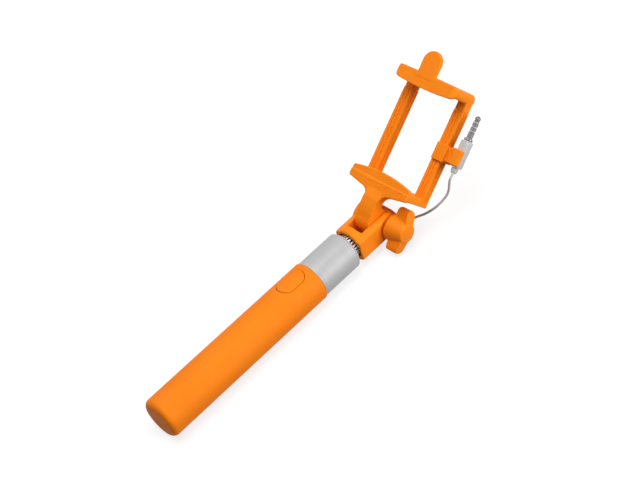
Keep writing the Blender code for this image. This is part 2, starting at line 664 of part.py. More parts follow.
tongue += [(-JAW_BACK / 2, SHELF_UNDER + GAP / 2), (-JAW_BACK / 2, nose_top)]
join(lower, prism("stem_tongue", tongue, "ZY", -STEM_HALF, STEM_HALF, clamp))
cut(lower, x_rod("tongue_bore", bolt_hole, -far, far, SMALL_STEPS, clamp))
finished(lower, ORANGE)

# Fluted guide tubes, the legs that slide in them and the springs below the legs
bore_half = (GUIDE_WIDTH / 2 - GUIDE_WALL, GUIDE_DEPTH / 2 - GUIDE_WALL)
leg_half = (bore_half[0] - GAP, bore_half[1] - GAP)


def fluted(half_width, half_depth):
    """A rectangle with two shallow grooves in each face."""
    quarter = []
    corners = ((1, 1), (-1, 1), (-1, -1), (1, -1))
    for i, (sx, sy) in enumerate(corners):
        start = Vector((sx * half_width, sy * half_depth))
        nx, ny = corners[(i + 1) % 4]
        end = Vector((nx * half_width, ny * half_depth))
        along = (end - start).normalized()
        inward = Vector((-along.y, along.x))
        middle = (start + end) / 2
        quarter.append(start)
        for centre in (-FLUTE_SPACING / 2, FLUTE_SPACING / 2):
            near = middle + along * (centre - FLUTE_WIDTH / 2)
            away = middle + along * (centre + FLUTE_WIDTH / 2)
            quarter += [near, near + inward * FLUTE_DEPTH, away + inward * FLUTE_DEPTH, away]
    return [tuple(point) for point in quarter]


def shifted(outline, x, v):
    return [(a + x, b + v) for a, b in outline]


for name, sign in (("left", -1), ("right", 1)):
    x = sign * GUIDE_X
    outline = shifted(fluted(GUIDE_WIDTH / 2, GUIDE_DEPTH / 2), x, GUIDE_V)
    guide = prism(f"guide_tube_{name}", outline, "XZ", GUIDE_FOOT, GUIDE_TOP, clamp)
    bore_outline = rounded(*bore_half, GAP, 2, (x, GUIDE_V))
    guide_floor = GUIDE_FOOT + GUIDE_FLOOR
    cut(guide, prism(f"guide_bore_{name}", bore_outline, "XZ", guide_floor, GUIDE_TOP + CUT_MARGIN, clamp))
    finished(guide, ORANGE)
    leg_outline = rounded(*leg_half, GAP, 2, (x, GUIDE_V))
    leg = prism(f"jaw_leg_{name}", leg_outline, "XZ", LEG_FOOT, ROOT_FOOT - SLIDE_GAP, clamp)
    finished(leg, ORANGE)
    spring_low = guide_floor + SLIDE_GAP
    spring = rod(f"jaw_spring_{name}", SPRING_RADIUS, spring_low, LEG_FOOT - SLIDE_GAP, 12, clamp, (x, GUIDE_V))
    finished(spring, STEEL)

# Upper jaw: a plate with a front lip and a thumb tab
side = []
for i in range(6):
    share = i / 6
    side.append((JAW_HALF * share, UPPER_LIP_LOW + (UPPER_LIP_END - UPPER_LIP_LOW) * share**2))
side += arc((JAW_HALF - UPPER_END_ROUND, UPPER_LIP_END + UPPER_END_ROUND), UPPER_END_ROUND, -70, 0, 4)
side += arc((JAW_HALF - UPPER_END_ROUND, UPPER_TOP_END - UPPER_END_ROUND), UPPER_END_ROUND, 0, 80, 4)
side += [(0.0, UPPER_TOP)]
upper = prism("upper_jaw", mirrored(side), "XY", -JAW_BACK, JAW_FRONT, clamp)
under_low = (-far, UPPER_LIP_LOW - CUT_MARGIN, -JAW_BACK - CUT_MARGIN)
cut(upper, block("upper_channel", under_low, (far, UPPER_UNDER, LIP_BACK), clamp))
upper_low = UPPER_LIP_LOW - CUT_MARGIN
cut(upper, outside_plan("upper_corners", UPPER_CORNER, 0.0, upper_low, UPPER_TOP + CUT_MARGIN))
root_half = (GUIDE_WIDTH / 2 - ROOT_INSET, GUIDE_DEPTH / 2 - ROOT_INSET)
for sign in (-1, 1):
    root_outline = rounded(*root_half, ROOT_CORNER, 3, (sign * GUIDE_X, GUIDE_V))
    root_top = UPPER_UNDER + UPPER_THICK / 2
    join(upper, prism(f"leg_root_{sign}", root_outline, "XZ", ROOT_FOOT, root_top, clamp))
tab_centre = TAB_TOP - TAB_RADIUS
tab_foot = UPPER_TOP - TAB_OVERLAP
tab_base = TAB_RADIUS - TAB_WAIST
tab_outline = [(TAB_SIDE - tab_base, tab_foot), (TAB_SIDE + tab_base, tab_foot)]
tab_outline += arc((TAB_SIDE, tab_centre), TAB_RADIUS, 0, 180, 14)
tab_front = JAW_FRONT + TAB_FORWARD
join(upper, prism("thumb_tab", tab_outline, "XY", tab_front - TAB_THICK, tab_front, clamp))
finished(upper, ORANGE)

# Plug clip: a sleeve on the right guide tube and a holder open to the side
clip_top = CLIP_FOOT + CLIP_HEIGHT
sleeve_bore = (GUIDE_WIDTH / 2 + GAP, GUIDE_DEPTH / 2 + GAP)
sleeve_out = (sleeve_bore[0] + CLIP_WALL, sleeve_bore[1] + CLIP_WALL)
sleeve_outline = rounded(*sleeve_out, CLIP_WALL / 2, 3, (GUIDE_X, GUIDE_V))
clip = prism("plug_clip", sleeve_outline, "XZ", CLIP_FOOT, clip_top, clamp)
holder_bore = (PLUG_WIDTH / 2 + GAP, PLUG_DEPTH / 2 + GAP)
holder_out = (holder_bore[0] + HOLDER_WALL, holder_bore[1] + HOLDER_WALL)
holder_corner = PLUG_CORNER + HOLDER_WALL
holder_low = CLIP_FOOT + CLIP_WALL
holder_top = clip_top + CLIP_WALL / 2
holder_outline = rounded(*holder_out, holder_corner, 4, (PLUG_X, GUIDE_V))
join(clip, prism("holder_body", holder_outline, "XZ", holder_low, holder_top, clamp))
bridge_half = GUIDE_DEPTH / 2
bridge_low = (GUIDE_X + sleeve_bore[0] + GAP, holder_low, GUIDE_V - bridge_half)
bridge_high = (PLUG_X - holder_bore[0] - GAP, clip_top - GAP, GUIDE_V + bridge_half)
join(clip, block("clip_bridge", bridge_low, bridge_high, clamp))
sleeve_hole = rounded(*sleeve_bore, GAP, 2, (GUIDE_X, GUIDE_V))
cut(clip, prism("sleeve_hole", sleeve_hole, "XZ", CLIP_FOOT - CUT_MARGIN, clip_top + CUT_MARGIN, clamp))
holder_hole = rounded(*holder_bore, PLUG_CORNER, 4, (PLUG_X, GUIDE_V))
cut(clip, prism("holder_hole", holder_hole, "XZ", CLIP_FOOT - CUT_MARGIN, clip_top + CUT_MARGIN, clamp))
open_low = (PLUG_X + HOLDER_ARM, CLIP_FOOT - CUT_MARGIN, GUIDE_V - holder_out[1] - CUT_MARGIN)
open_high = (PLUG_X + holder_out[0] + CUT_MARGIN, clip_top + CUT_MARGIN, GUIDE_V + holder_out[1] + CUT_MARGIN)
cut(clip, block("holder_mouth", open_low, open_high, clamp))
rear_low = (PLUG_X + HOLDER_BACK_ARM, open_low[1], open_low[2])
cut(clip, block("holder_rear", rear_low, (open_high[0], open_high[1], GUIDE_V), clamp))
back_low = (GUIDE_X - sleeve_out[0] - CUT_MARGIN, CLIP_FOOT - CUT_MARGIN, open_low[2])
back_high = (GUIDE_X - GUIDE_WIDTH / 2 + SLEEVE_ARM, clip_top + CUT_MARGIN, open_high[2])
cut(clip, block("sleeve_mouth", back_low, back_high, clamp))
finished(clip, ORANGE)

# Plug, its strain relief and the four poles of the jack on an insulating core
plug_axis = (PLUG_X, GUIDE_V)
plug_outline = rounded(PLUG_WIDTH / 2, PLUG_DEPTH / 2, PLUG_CORNER, 4, plug_axis)
finished(prism("plug_body", plug_outline, "XZ", PLUG_FOOT, PLUG_TOP, clamp), GREY)
relief_top = PLUG_FOOT - GAP
relief_low = relief_top - RELIEF_LENGTH
profile = [(0.0, relief_top), (RELIEF_RADIUS, relief_top), (RELIEF_RADIUS, relief_top - RELIEF_LENGTH / 2)]
profile += [(RELIEF_TIP_RADIUS, relief_low), (0.0, relief_low)]
finished(turned("plug_relief", profile, 16, clamp, plug_axis, closed=False), GREY)

pole_bore = JACK_CORE_RADIUS + SLIDE_GAP
band_radius = JACK_RADIUS - SLIDE_GAP
core_profile = [(0.0, PLUG_TOP + GAP + FLANGE_HEIGHT + JACK_SLEEVE / 2), (JACK_CORE_RADIUS, 0.0)]
core_profile[1] = (JACK_CORE_RADIUS, core_profile[0][1])
height = JACK_FOOT
flange_low = PLUG_TOP + GAP
sleeve_profile = [(pole_bore, JACK_FOOT + JACK_SLEEVE), (JACK_RADIUS, JACK_FOOT + JACK_SLEEVE)]
sleeve_profile += [(JACK_RADIUS, JACK_FOOT), (FLANGE_RADIUS, JACK_FOOT), (FLANGE_RADIUS, flange_low)]
sleeve_profile += [(pole_bore, flange_low)]
finished(turned("jack_sleeve", sleeve_profile, 16, clamp, plug_axis), CHROME)
height = JACK_FOOT + JACK_SLEEVE
for number, length in ((1, JACK_RING), (2, JACK_RING), (3, 0.0)):
    band_top = height + JACK_BAND
    core_profile += [(JACK_CORE_RADIUS, height + SLIDE_GAP), (band_radius, height + SLIDE_GAP)]
    core_profile += [(band_radius, band_top - SLIDE_GAP), (JACK_CORE_RADIUS, band_top - SLIDE_GAP)]
    height = band_top + length
    if length:
        finished(ring(f"jack_ring_{number}", JACK_RADIUS, pole_bore, band_top, height, 16, clamp, plug_axis), CHROME)
core_top = height + JACK_TIP / 2
core_profile += [(JACK_CORE_RADIUS, core_top), (0.0, core_top)]
finished(turned("jack_core", core_profile, 16, clamp, plug_axis, closed=False), GREY)
tip_top = height + JACK_TIP
tip_profile = [(0.0, tip_top), (JACK_RADIUS * 0.45, tip_top - JACK_TIP * 0.08)]
tip_profile += [(JACK_RADIUS, height + JACK_TIP * 0.55), (JACK_RADIUS * 0.75, height + JACK_TIP * 0.2)]
tip_profile += [(JACK_RADIUS, height), (pole_bore, height)]
tip_profile += [(pole_bore, core_top + SLIDE_GAP), (0.0, core_top + SLIDE_GAP)]
finished(turned("jack_tip", tip_profile, 16, clamp, plug_axis, closed=False), CHROME)

# Lead from the grommet, round the back of the knob, up to the plug
clamp_place = Matrix.Translation((0.0, PIVOT_Y, 0.0)) @ Matrix.Rotation(CLAMP_TILT, 4, "X")
lead_start = Vector((GROMMET_X, grommet_high + GAP, grommet_z))
lead_end = clamp_place @ Vector((PLUG_X, relief_low - GAP, GUIDE_V))
lead_end_way = (clamp_place.to_3x3() @ Vector((0.0, 1.0, 0.0))).normalized()
route = [
    lead_start,
    lead_start + Vector((0.0, 0.003, 0.0)),
    Vector((0.0038, PIVOT_Y - 0.0078, -0.0098)),
    Vector((0.0068, PIVOT_Y + 0.0024, -0.0096)),
    Vector((0.0114, PIVOT_Y + 0.0142, -0.0068)),
    Vector((0.0190, PIVOT_Y + 0.0200, -0.0026)),
    Vector((0.0257, PIVOT_Y + 0.0244, 0.0038)),
    Vector((0.0300, PIVOT_Y + 0.0300, 0.0109)),
    lead_end - lead_end_way * 0.004,
    lead_end,
]


def smooth_route(points, spacing):
    """Evenly spaced points on a smooth curve through the route's points."""
    fine = []
    padded = [2 * points[0] - points[1]] + points + [2 * points[-1] - points[-2]]
    for before, start, end, after in zip(padded, padded[1:], padded[2:], padded[3:]):
        for i in range(40):
            t = i / 40
            way = (end - before) * t + (2 * before - 5 * start + 4 * end - after) * t**2
            way += (3 * start - before - 3 * end + after) * t**3
            fine.append(start + way / 2)
    fine.append(points[-1])
    reach = [0.0]
    for a, b in zip(fine, fine[1:]):
        reach.append(reach[-1] + (b - a).length)
    count = max(8, round(reach[-1] / spacing))
    even = []
    j = 0
    for i in range(count + 1):
        target = reach[-1] * i / count
        while j < len(fine) - 2 and reach[j + 1] < target:
            j += 1
        share = (target - reach[j]) / (reach[j + 1] - reach[j])
        even.append(fine[j].lerp(fine[j + 1], min(share, 1.0)))
    return even, reach[-1]


lead_points, lead_length = smooth_route(route, CABLE_STEP)
lead_curve = bpy.data.curves.new("lead_cable", "CURVE")
lead_curve.dimensions = "3D"
lead_curve.bevel_depth = CABLE_RADIUS
lead_curve.bevel_resolution = 2
lead_curve.use_fill_caps = True
lead_line = lead_curve.splines.new("POLY")
lead_line.points.add(len(lead_points) - 1)
for spot, point in zip(lead_line.points, lead_points):
    spot.co = (*point, 1.0)
lead = bpy.data.objects.new("lead_cable", lead_curve)
bpy.context.collection.objects.link(lead)
finished(lead, GREY)
print(f"lead length {lead_length * 1000:.1f} mm, tilt axis at y = {PIVOT_Y * 1000:.1f} mm")
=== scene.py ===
# %% [markdown]
# # A telescopic selfie stick, dressed for its picture
# The stick lies on its back, closed: a soft orange grip, a silver collar, a fork with a wing knob,
# and a spring clamp for a phone with a short plug lead. The solids give every place and size. Here
# each visible piece gets its finer shape and its finish. So we start by loading the solids and
# keeping their box.

import json
import math

import bpy
from mathutils import Matrix, Vector

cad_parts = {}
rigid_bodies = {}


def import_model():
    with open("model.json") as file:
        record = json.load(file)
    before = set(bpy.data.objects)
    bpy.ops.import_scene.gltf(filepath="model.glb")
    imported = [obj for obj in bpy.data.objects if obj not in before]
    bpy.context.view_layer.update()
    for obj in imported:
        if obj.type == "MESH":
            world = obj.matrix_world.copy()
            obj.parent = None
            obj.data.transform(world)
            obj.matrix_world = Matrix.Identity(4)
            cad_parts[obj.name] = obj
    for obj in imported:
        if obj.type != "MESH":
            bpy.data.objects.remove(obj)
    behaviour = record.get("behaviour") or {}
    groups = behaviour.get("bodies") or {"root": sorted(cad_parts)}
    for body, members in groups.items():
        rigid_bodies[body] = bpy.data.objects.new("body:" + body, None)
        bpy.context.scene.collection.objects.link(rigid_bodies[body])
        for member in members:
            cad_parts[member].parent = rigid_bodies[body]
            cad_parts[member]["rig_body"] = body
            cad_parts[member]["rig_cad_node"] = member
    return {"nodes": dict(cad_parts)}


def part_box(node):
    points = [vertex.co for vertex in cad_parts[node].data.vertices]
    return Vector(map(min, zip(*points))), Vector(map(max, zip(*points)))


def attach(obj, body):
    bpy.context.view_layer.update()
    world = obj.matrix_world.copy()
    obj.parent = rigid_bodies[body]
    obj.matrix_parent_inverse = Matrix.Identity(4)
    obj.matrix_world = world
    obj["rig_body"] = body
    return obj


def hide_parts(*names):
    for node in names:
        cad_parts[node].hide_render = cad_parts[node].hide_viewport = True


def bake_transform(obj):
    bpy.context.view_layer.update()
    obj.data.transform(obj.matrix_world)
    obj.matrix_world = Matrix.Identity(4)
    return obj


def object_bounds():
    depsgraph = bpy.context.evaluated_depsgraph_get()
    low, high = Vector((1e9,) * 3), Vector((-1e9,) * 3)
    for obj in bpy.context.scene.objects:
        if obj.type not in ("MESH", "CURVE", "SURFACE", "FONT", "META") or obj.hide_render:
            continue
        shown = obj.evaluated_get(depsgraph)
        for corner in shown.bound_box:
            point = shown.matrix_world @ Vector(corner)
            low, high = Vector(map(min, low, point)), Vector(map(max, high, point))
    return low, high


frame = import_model()
cad_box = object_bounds()


def shortened(point, digits=4):
    """A point in few digits, for printing."""
    return tuple(round(number, digits) for number in point)


print("solids:", len(frame["nodes"]), "box:", [shortened(point) for point in cad_box])

# %% [markdown]
# ## The camera
# The picture was taken from the knob's side, well above the stick, with a long lens, which keeps the
# stick's sides almost parallel. A camera could be aimed by eye. Here its place and its three
# directions are written down, because the stick's known sizes gave them.

# %% Camera
camera_right = Vector((0.6891, 0.6867, -0.2314)).normalized()
camera_up = Vector((-0.3944, 0.6233, 0.6752)).normalized()
camera_back = camera_right.cross(camera_up)
camera_spot = Vector((0.5193, -0.1863, 0.6194))
lens = bpy.data.cameras.new("long_lens")
lens.sensor_width = 36.0
lens.lens = 85.72
camera = bpy.data.objects.new("camera", lens)
bpy.context.scene.collection.objects.link(camera)
camera_turn = Matrix((camera_right, camera_up, camera_back)).transposed().to_4x4()
camera.matrix_world = Matrix.Translation(camera_spot) @ camera_turn
bpy.context.scene.camera = camera
print("camera at", shortened(camera_spot, 3), "lens", lens.lens)

# %% [markdown]
# ## The bench
# A few small helpers stand for habits of the hand. Letting go of everything comes first, because an
# operator works on all that is selected. Picking is done by place: a question is asked of every
# point.

# %% Taking up and putting down
def put_down():
    """Leave edit mode and let go of everything."""
    if bpy.context.mode != "OBJECT":
        bpy.ops.object.mode_set(mode="OBJECT")
    bpy.ops.object.select_all(action="DESELECT")


def take_up(piece):
    """Hold one piece, and only that one."""
    put_down()
    piece.select_set(True)
    bpy.context.view_layer.objects.active = piece


def work_on(piece):
    """Open a piece in edit mode with nothing on it selected."""
    take_up(piece)
    bpy.ops.object.mode_set(mode="EDIT")
    bpy.ops.mesh.select_all(action="DESELECT")


def pick(piece, wanted):
    """Select only the vertices of an opened piece whose place answers a question."""
    bpy.ops.mesh.select_all(action="DESELECT")
    bpy.ops.object.mode_set(mode="OBJECT")
    for spot in piece.data.vertices:
        spot.select = bool(wanted(spot.co))
    bpy.ops.object.mode_set(mode="EDIT")
    bpy.ops.mesh.select_mode(type="VERT")


print("hands ready")

# %% [markdown]
# ## Finishing steps
# A modifier is added, set and applied in one step, so that the finished mesh holds the shape by
# itself. A cutter is thrown away after its cut. A piece's place goes into its mesh, and its object
# stays at the origin.

# %% Steps that finish a mesh
MERGE = 2e-6


def apply_step(piece, kind, **settings):
    """Add a modifier, set it and apply it."""
    take_up(piece)
    step = piece.modifiers.new(kind.lower(), kind)
    for key, value in settings.items():
        setattr(step, key, value)
    bpy.ops.object.modifier_apply(modifier=step.name)
    return piece


def cut(piece, cutter, operation="DIFFERENCE"):
    """Cut a piece with another one, and throw the cutter away."""
    apply_step(piece, "BOOLEAN", object=cutter, operation=operation, solver="EXACT")
    bpy.data.objects.remove(cutter)


def close_up():
    """Merge what lies together in the opened piece, and turn its faces outwards."""
    bpy.ops.mesh.select_all(action="SELECT")
    bpy.ops.mesh.remove_doubles(threshold=MERGE)
    bpy.ops.mesh.normals_make_consistent(inside=False)


def settle(piece, place):
    """Move a piece to its place and leave that place in its mesh."""
    take_up(piece)
    piece.matrix_world = place @ piece.matrix_world
    bpy.ops.object.transform_apply(location=True, rotation=True, scale=True)
    return piece


def shade(piece, sharp=40):
    """Shade a piece smooth, apart from edges that turn by more than so many degrees."""
    take_up(piece)
    bpy.ops.object.shade_smooth_by_angle(angle=math.radians(sharp))


def triangles(piece):
    return sum(len(face.vertices) - 2 for face in piece.data.polygons)


print("bench ready, points nearer than", MERGE, "m are merged")

# %% [markdown]
# ## The plug lead's line
# A thin grey lead leaves the fork behind the pivot, passes under the knob and climbs to the plug that
# is parked on the clamp. A lead is a length of something flexible, so its line comes first: a few
# points that it has to pass, and a smooth curve through them.

# %% Lead line
PIVOT = Vector((0.0, 0.1758, 0.0))
CLAMP_TILT = math.radians(37)
CLAMP = Matrix.Translation(PIVOT) @ Matrix.Rotation(CLAMP_TILT, 4, "X")
PLUG_X, GUIDE_V = 0.032, -0.0028
STRAIGHT_OUT, STRAIGHT_IN = 0.003, 0.004
lead_start = Vector((0.0015, 0.1601, -0.00955))
lead_end = CLAMP @ Vector((PLUG_X, 0.0422, GUIDE_V))
into_plug = (CLAMP.to_3x3() @ Vector((0.0, 1.0, 0.0))).normalized()
waypoints = [lead_start, lead_start + Vector((0.0, STRAIGHT_OUT, 0.0))]
waypoints += [Vector((0.0038, 0.1680, -0.0098)), Vector((0.0068, 0.1782, -0.0096))]
waypoints += [Vector((0.0114, 0.1900, -0.0068)), Vector((0.0190, 0.1958, -0.0026))]
waypoints += [Vector((0.0257, 0.2002, 0.0038)), Vector((0.0300, 0.2058, 0.0109))]
waypoints += [lead_end - into_plug * STRAIGHT_IN, lead_end]


def smooth_line(points, steps):
    """A curve that passes every point without a corner."""
    line = []
    ends = [2 * points[0] - points[1]] + points + [2 * points[-1] - points[-2]]
    for before, start, end, after in zip(ends, ends[1:], ends[2:], ends[3:]):
        for i in range(steps):
            t = i / steps
            way = (end - before) * t + (2 * before - 5 * start + 4 * end - after) * t**2
            way += (3 * start - before - 3 * end + after) * t**3
            line.append(start + way / 2)
    return line + [points[-1]]


lead_line = smooth_line(waypoints, steps=8)

# %% [markdown]
# ## The lead's cable
# A circle could be pushed along the line by hand. A curve with a round bevel does the same in one go,
# and it is made into a mesh.

# %% Lead cable
LEAD_RADIUS = 0.00075


def round_line(name, points, radius):
    """A round bar that follows a line of points."""
    put_down()
    curve = bpy.data.curves.new(name, "CURVE")
    curve.dimensions = "3D"
    curve.bevel_depth = radius
    curve.bevel_resolution = 5
    curve.use_fill_caps = True
    strand = curve.splines.new("POLY")
    strand.points.add(len(points) - 1)
    for spot, point in zip(strand.points, points):
        spot.co = (*point, 1.0)
    piece = bpy.data.objects.new(name, curve)
    bpy.context.scene.collection.objects.link(piece)
    take_up(piece)
    bpy.ops.object.convert(target="MESH")
    bpy.ops.object.mode_set(mode="EDIT")
    close_up()
    shade(piece, sharp=50)
    return piece


plug_lead = round_line("plug_lead", lead_line, LEAD_RADIUS)
print("lead cable:", triangles(plug_lead), "triangles")

# %% [markdown]
# ## Effects that several finishes share
# Moulded plastic is never one colour: the pigment drifts a little, the gloss drifts with it, and the
# mould leaves a fine skin. Metal shows the lines of the tool that turned or drew it. Hands leave dull
# patches on both. Each effect is built once as a node group, with its sizes as inputs, and every
# finish uses it with its own numbers. Sizes are in metres, so a scale of 1000 is about one
# millimetre.

# %% Helpers for node groups
FLOAT, COLOUR, VECTOR = "NodeSocketFloat", "NodeSocketColor", "NodeSocketVector"
MIX_FIRST, MIX_SECOND, MIX_COLOUR = 6, 7, 2


def open_group(name, inputs, outputs):
    """An empty node group with named sockets."""
    group = bpy.data.node_groups.new(name, "ShaderNodeTree")
    for label, kind, value in inputs:
        socket = group.interface.new_socket(label, in_out="INPUT", socket_type=kind)
        socket.default_value = value
    for label, kind in outputs:
        group.interface.new_socket(label, in_out="OUTPUT", socket_type=kind)
    return group, group.nodes.new("NodeGroupInput"), group.nodes.new("NodeGroupOutput")


def noise_in(nodes, detail, roughness=0.5):
    node = nodes.new("ShaderNodeTexNoise")
    node.inputs["Detail"].default_value = detail
    node.inputs["Roughness"].default_value = roughness
    return node


def feed(links, value, socket):
    """Write a number into a socket, or link another socket to it."""
    if isinstance(value, (int, float)):
        socket.default_value = value
    else:
        links.new(value, socket)


def spread(nodes, links, source, low, high, to_low, to_high):
    """Stretch a value from one range to another, with the new range as numbers or sockets."""
    node = nodes.new("ShaderNodeMapRange")
    node.inputs["From Min"].default_value = low
    node.inputs["From Max"].default_value = high
    links.new(source, node.inputs["Value"])
    feed(links, to_low, node.inputs["To Min"])
    feed(links, to_high, node.inputs["To Max"])
    return node.outputs["Result"]


def mix_colours(nodes, links, share, first, second, way="MIX"):
    """Go from the first colour to the second by a share, or multiply them."""
    node = nodes.new("ShaderNodeMix")
    node.data_type = "RGBA"
    node.blend_type = way
    feed(links, share, node.inputs["Factor"])
    links.new(first, node.inputs[MIX_FIRST])
    links.new(second, node.inputs[MIX_SECOND])
    return node.outputs[MIX_COLOUR]


NOISE_LOW, NOISE_HIGH = 0.3, 0.7
print("a noise is used from", NOISE_LOW, "to", NOISE_HIGH)

# %% [markdown]
# ## The moulded skin
# Three noises make the skin: a broad one drifts between two close tones of the pigment, a middle one
# changes the gloss, and a fine one is the grain that the mould leaves.

# %% Moulded skin group
skin_inputs = [("Light colour", COLOUR, (1, 1, 1, 1)), ("Deep colour", COLOUR, (0.5, 0.5, 0.5, 1))]
skin_inputs += [("Drift scale", FLOAT, 90.0), ("Skin scale", FLOAT, 1500.0)]
skin_inputs += [("Gloss low", FLOAT, 0.35), ("Gloss high", FLOAT, 0.5)]
surface_outputs = [("Colour", COLOUR), ("Roughness", FLOAT), ("Height", FLOAT)]
moulded_skin, skin_in, skin_out = open_group("moulded_skin", skin_inputs, surface_outputs)
nodes, links = moulded_skin.nodes, moulded_skin.links
place = nodes.new("ShaderNodeTexCoord").outputs["Object"]
drift = noise_in(nodes, detail=3.0)
links.new(place, drift.inputs["Vector"])
links.new(skin_in.outputs["Drift scale"], drift.inputs["Scale"])
drifted = spread(nodes, links, drift.outputs["Fac"], NOISE_LOW, NOISE_HIGH, 0.0, 1.0)
two_tones = (skin_in.outputs["Light colour"], skin_in.outputs["Deep colour"])
links.new(mix_colours(nodes, links, drifted, *two_tones), skin_out.inputs["Colour"])
skin = noise_in(nodes, detail=2.0, roughness=0.6)
links.new(place, skin.inputs["Vector"])
links.new(skin_in.outputs["Skin scale"], skin.inputs["Scale"])
links.new(skin.outputs["Fac"], skin_out.inputs["Height"])
gloss = noise_in(nodes, detail=4.0)
gloss.inputs["Scale"].default_value = 260.0
links.new(place, gloss.inputs["Vector"])
gloss_ends = (skin_in.outputs["Gloss low"], skin_in.outputs["Gloss high"])
glossed = spread(nodes, links, gloss.outputs["Fac"], NOISE_LOW, NOISE_HIGH, *gloss_ends)
links.new(glossed, skin_out.inputs["Roughness"])
print("group:", moulded_skin.name)

# %% [markdown]
# ## Tool lines
# A lathe or a drawing die leaves fine lines that all run one way. A noise that is stretched a lot
# more in one direction than in the others gives such lines, and one noise serves colour, gloss and
# height.

# %% Tool lines group
line_inputs = [("Stretch", VECTOR, (10.0, 3000.0, 10.0)), ("Light", COLOUR, (0.8, 0.8, 0.8, 1))]
line_inputs += [("Dark", COLOUR, (0.6, 0.6, 0.6, 1))]
line_inputs += [("Gloss low", FLOAT, 0.2), ("Gloss high", FLOAT, 0.35)]
tool_lines, line_in, line_out = open_group("tool_lines", line_inputs, surface_outputs)
nodes, links = tool_lines.nodes, tool_lines.links
place = nodes.new("ShaderNodeTexCoord").outputs["Object"]
stretched = nodes.new("ShaderNodeVectorMath")
stretched.operation = "MULTIPLY"
links.new(place, stretched.inputs[0])
links.new(line_in.outputs["Stretch"], stretched.inputs[1])
lines = noise_in(nodes, detail=3.0, roughness=0.65)
lines.inputs["Scale"].default_value = 1.0
links.new(stretched.outputs["Vector"], lines.inputs["Vector"])
lined = spread(nodes, links, lines.outputs["Fac"], NOISE_LOW, NOISE_HIGH, 0.0, 1.0)
two_tones = (line_in.outputs["Dark"], line_in.outputs["Light"])
links.new(mix_colours(nodes, links, lined, *two_tones), line_out.inputs["Colour"])
line_gloss = (line_in.outputs["Gloss high"], line_in.outputs["Gloss low"])
glossed = spread(nodes, links, lines.outputs["Fac"], NOISE_LOW, NOISE_HIGH, *line_gloss)
links.new(glossed, line_out.inputs["Roughness"])
links.new(lines.outputs["Fac"], line_out.inputs["Height"])
print("group:", tool_lines.name)

# %% [markdown]
# ## Handling marks
# Where hands touch a thing, its gloss goes dull in patches. The group adds a little to the roughness
# that it is given, only in the upper part of a twisted noise, so that most of the surface stays
# clean.

# %% Handling marks group
PATCH_FROM, PATCH_FULL = 0.45, 0.7
mark_inputs = [("Roughness", FLOAT, 0.4), ("Amount", FLOAT, 0.08), ("Mark scale", FLOAT, 70.0)]
handling_marks, mark_in, mark_out = open_group("handling_marks", mark_inputs, [("Roughness", FLOAT)])
nodes, links = handling_marks.nodes, handling_marks.links
place = nodes.new("ShaderNodeTexCoord").outputs["Object"]
patches = noise_in(nodes, detail=5.0, roughness=0.55)
patches.inputs["Distortion"].default_value = 0.6
links.new(place, patches.inputs["Vector"])
links.new(mark_in.outputs["Mark scale"], patches.inputs["Scale"])
amount = mark_in.outputs["Amount"]
share = spread(nodes, links, patches.outputs["Fac"], PATCH_FROM, PATCH_FULL, 0.0, amount)
total = nodes.new("ShaderNodeMath")
total.operation = "ADD"
links.new(share, total.inputs[0])
links.new(mark_in.outputs["Roughness"], total.inputs[1])
links.new(total.outputs["Value"], mark_out.inputs["Roughness"])
print("group:", handling_marks.name)

# %% [markdown]
# ## How a finish is dressed
# Four plastics and four metals dress nearly all of the stick. Each is the same short chain: a shared
# skin or tool-line group gives colour, gloss and height, the handling marks dull the gloss in
# patches, and a bump node turns the height into a surface.

# %% Dress a finish
BUMP_STRENGTH = 0.35


def use_group(tree, group, values):
    """Place a shared group in a finish with its own values."""
    node = tree.nodes.new("ShaderNodeGroup")
    node.node_tree = group
    for label, value in values.items():
        node.inputs[label].default_value = value
    return node


def dressed_finish(name, group, values, marks, depth, fixed):
    """A finish from one shared group, with handling marks and a bump."""
    finish = bpy.data.materials.new(name)
    finish.use_nodes = True
    tree = finish.node_tree
    surface = tree.nodes["Principled BSDF"]
    source = use_group(tree, group, values)
    worn = use_group(tree, handling_marks, {"Amount": marks[0], "Mark scale": marks[1]})
    bump = tree.nodes.new("ShaderNodeBump")
    bump.inputs["Strength"].default_value = BUMP_STRENGTH
    bump.inputs["Distance"].default_value = depth
    tree.links.new(source.outputs["Colour"], surface.inputs["Base Color"])
    tree.links.new(source.outputs["Roughness"], worn.inputs["Roughness"])
    tree.links.new(worn.outputs["Roughness"], surface.inputs["Roughness"])
    tree.links.new(source.outputs["Height"], bump.inputs["Height"])
    tree.links.new(bump.outputs["Normal"], surface.inputs["Normal"])
    for label, value in fixed.items():
        surface.inputs[label].default_value = value
    print("finish:", name)
    return finish


def plastic(name, light, deep, drift, skin, gloss, marks, depth, fixed):
    """A moulded finish: two tones, the scales of drift and skin, and the range of gloss."""
    values = {"Light colour": (*light, 1), "Deep colour": (*deep, 1)}
    values |= {"Drift scale": drift, "Skin scale": skin}
    values |= {"Gloss low": gloss[0], "Gloss high": gloss[1]}
    return dressed_finish(name, moulded_skin, values, marks, depth, fixed)


def metal(name, stretch, light, dark, gloss, marks, depth, fixed):
    """A finish with tool lines: their stretch, two tones, and the range of gloss."""
    values = {"Stretch": stretch, "Light": (*light, 1), "Dark": (*dark, 1)}
    values |= {"Gloss low": gloss[0], "Gloss high": gloss[1]}
    return dressed_finish(name, tool_lines, values, marks, depth, fixed)


print("every finish has a bump of strength", BUMP_STRENGTH)

# %% [markdown]
# ## The plastics
# The grip is soft to the touch, so it is duller and finer-grained than the moulded head. The lead and
# its plug are grey vinyl, and the pieces inside the handle are black nylon. All four are weak
# mirrors, which is set on the shader itself, because it is the same all over.

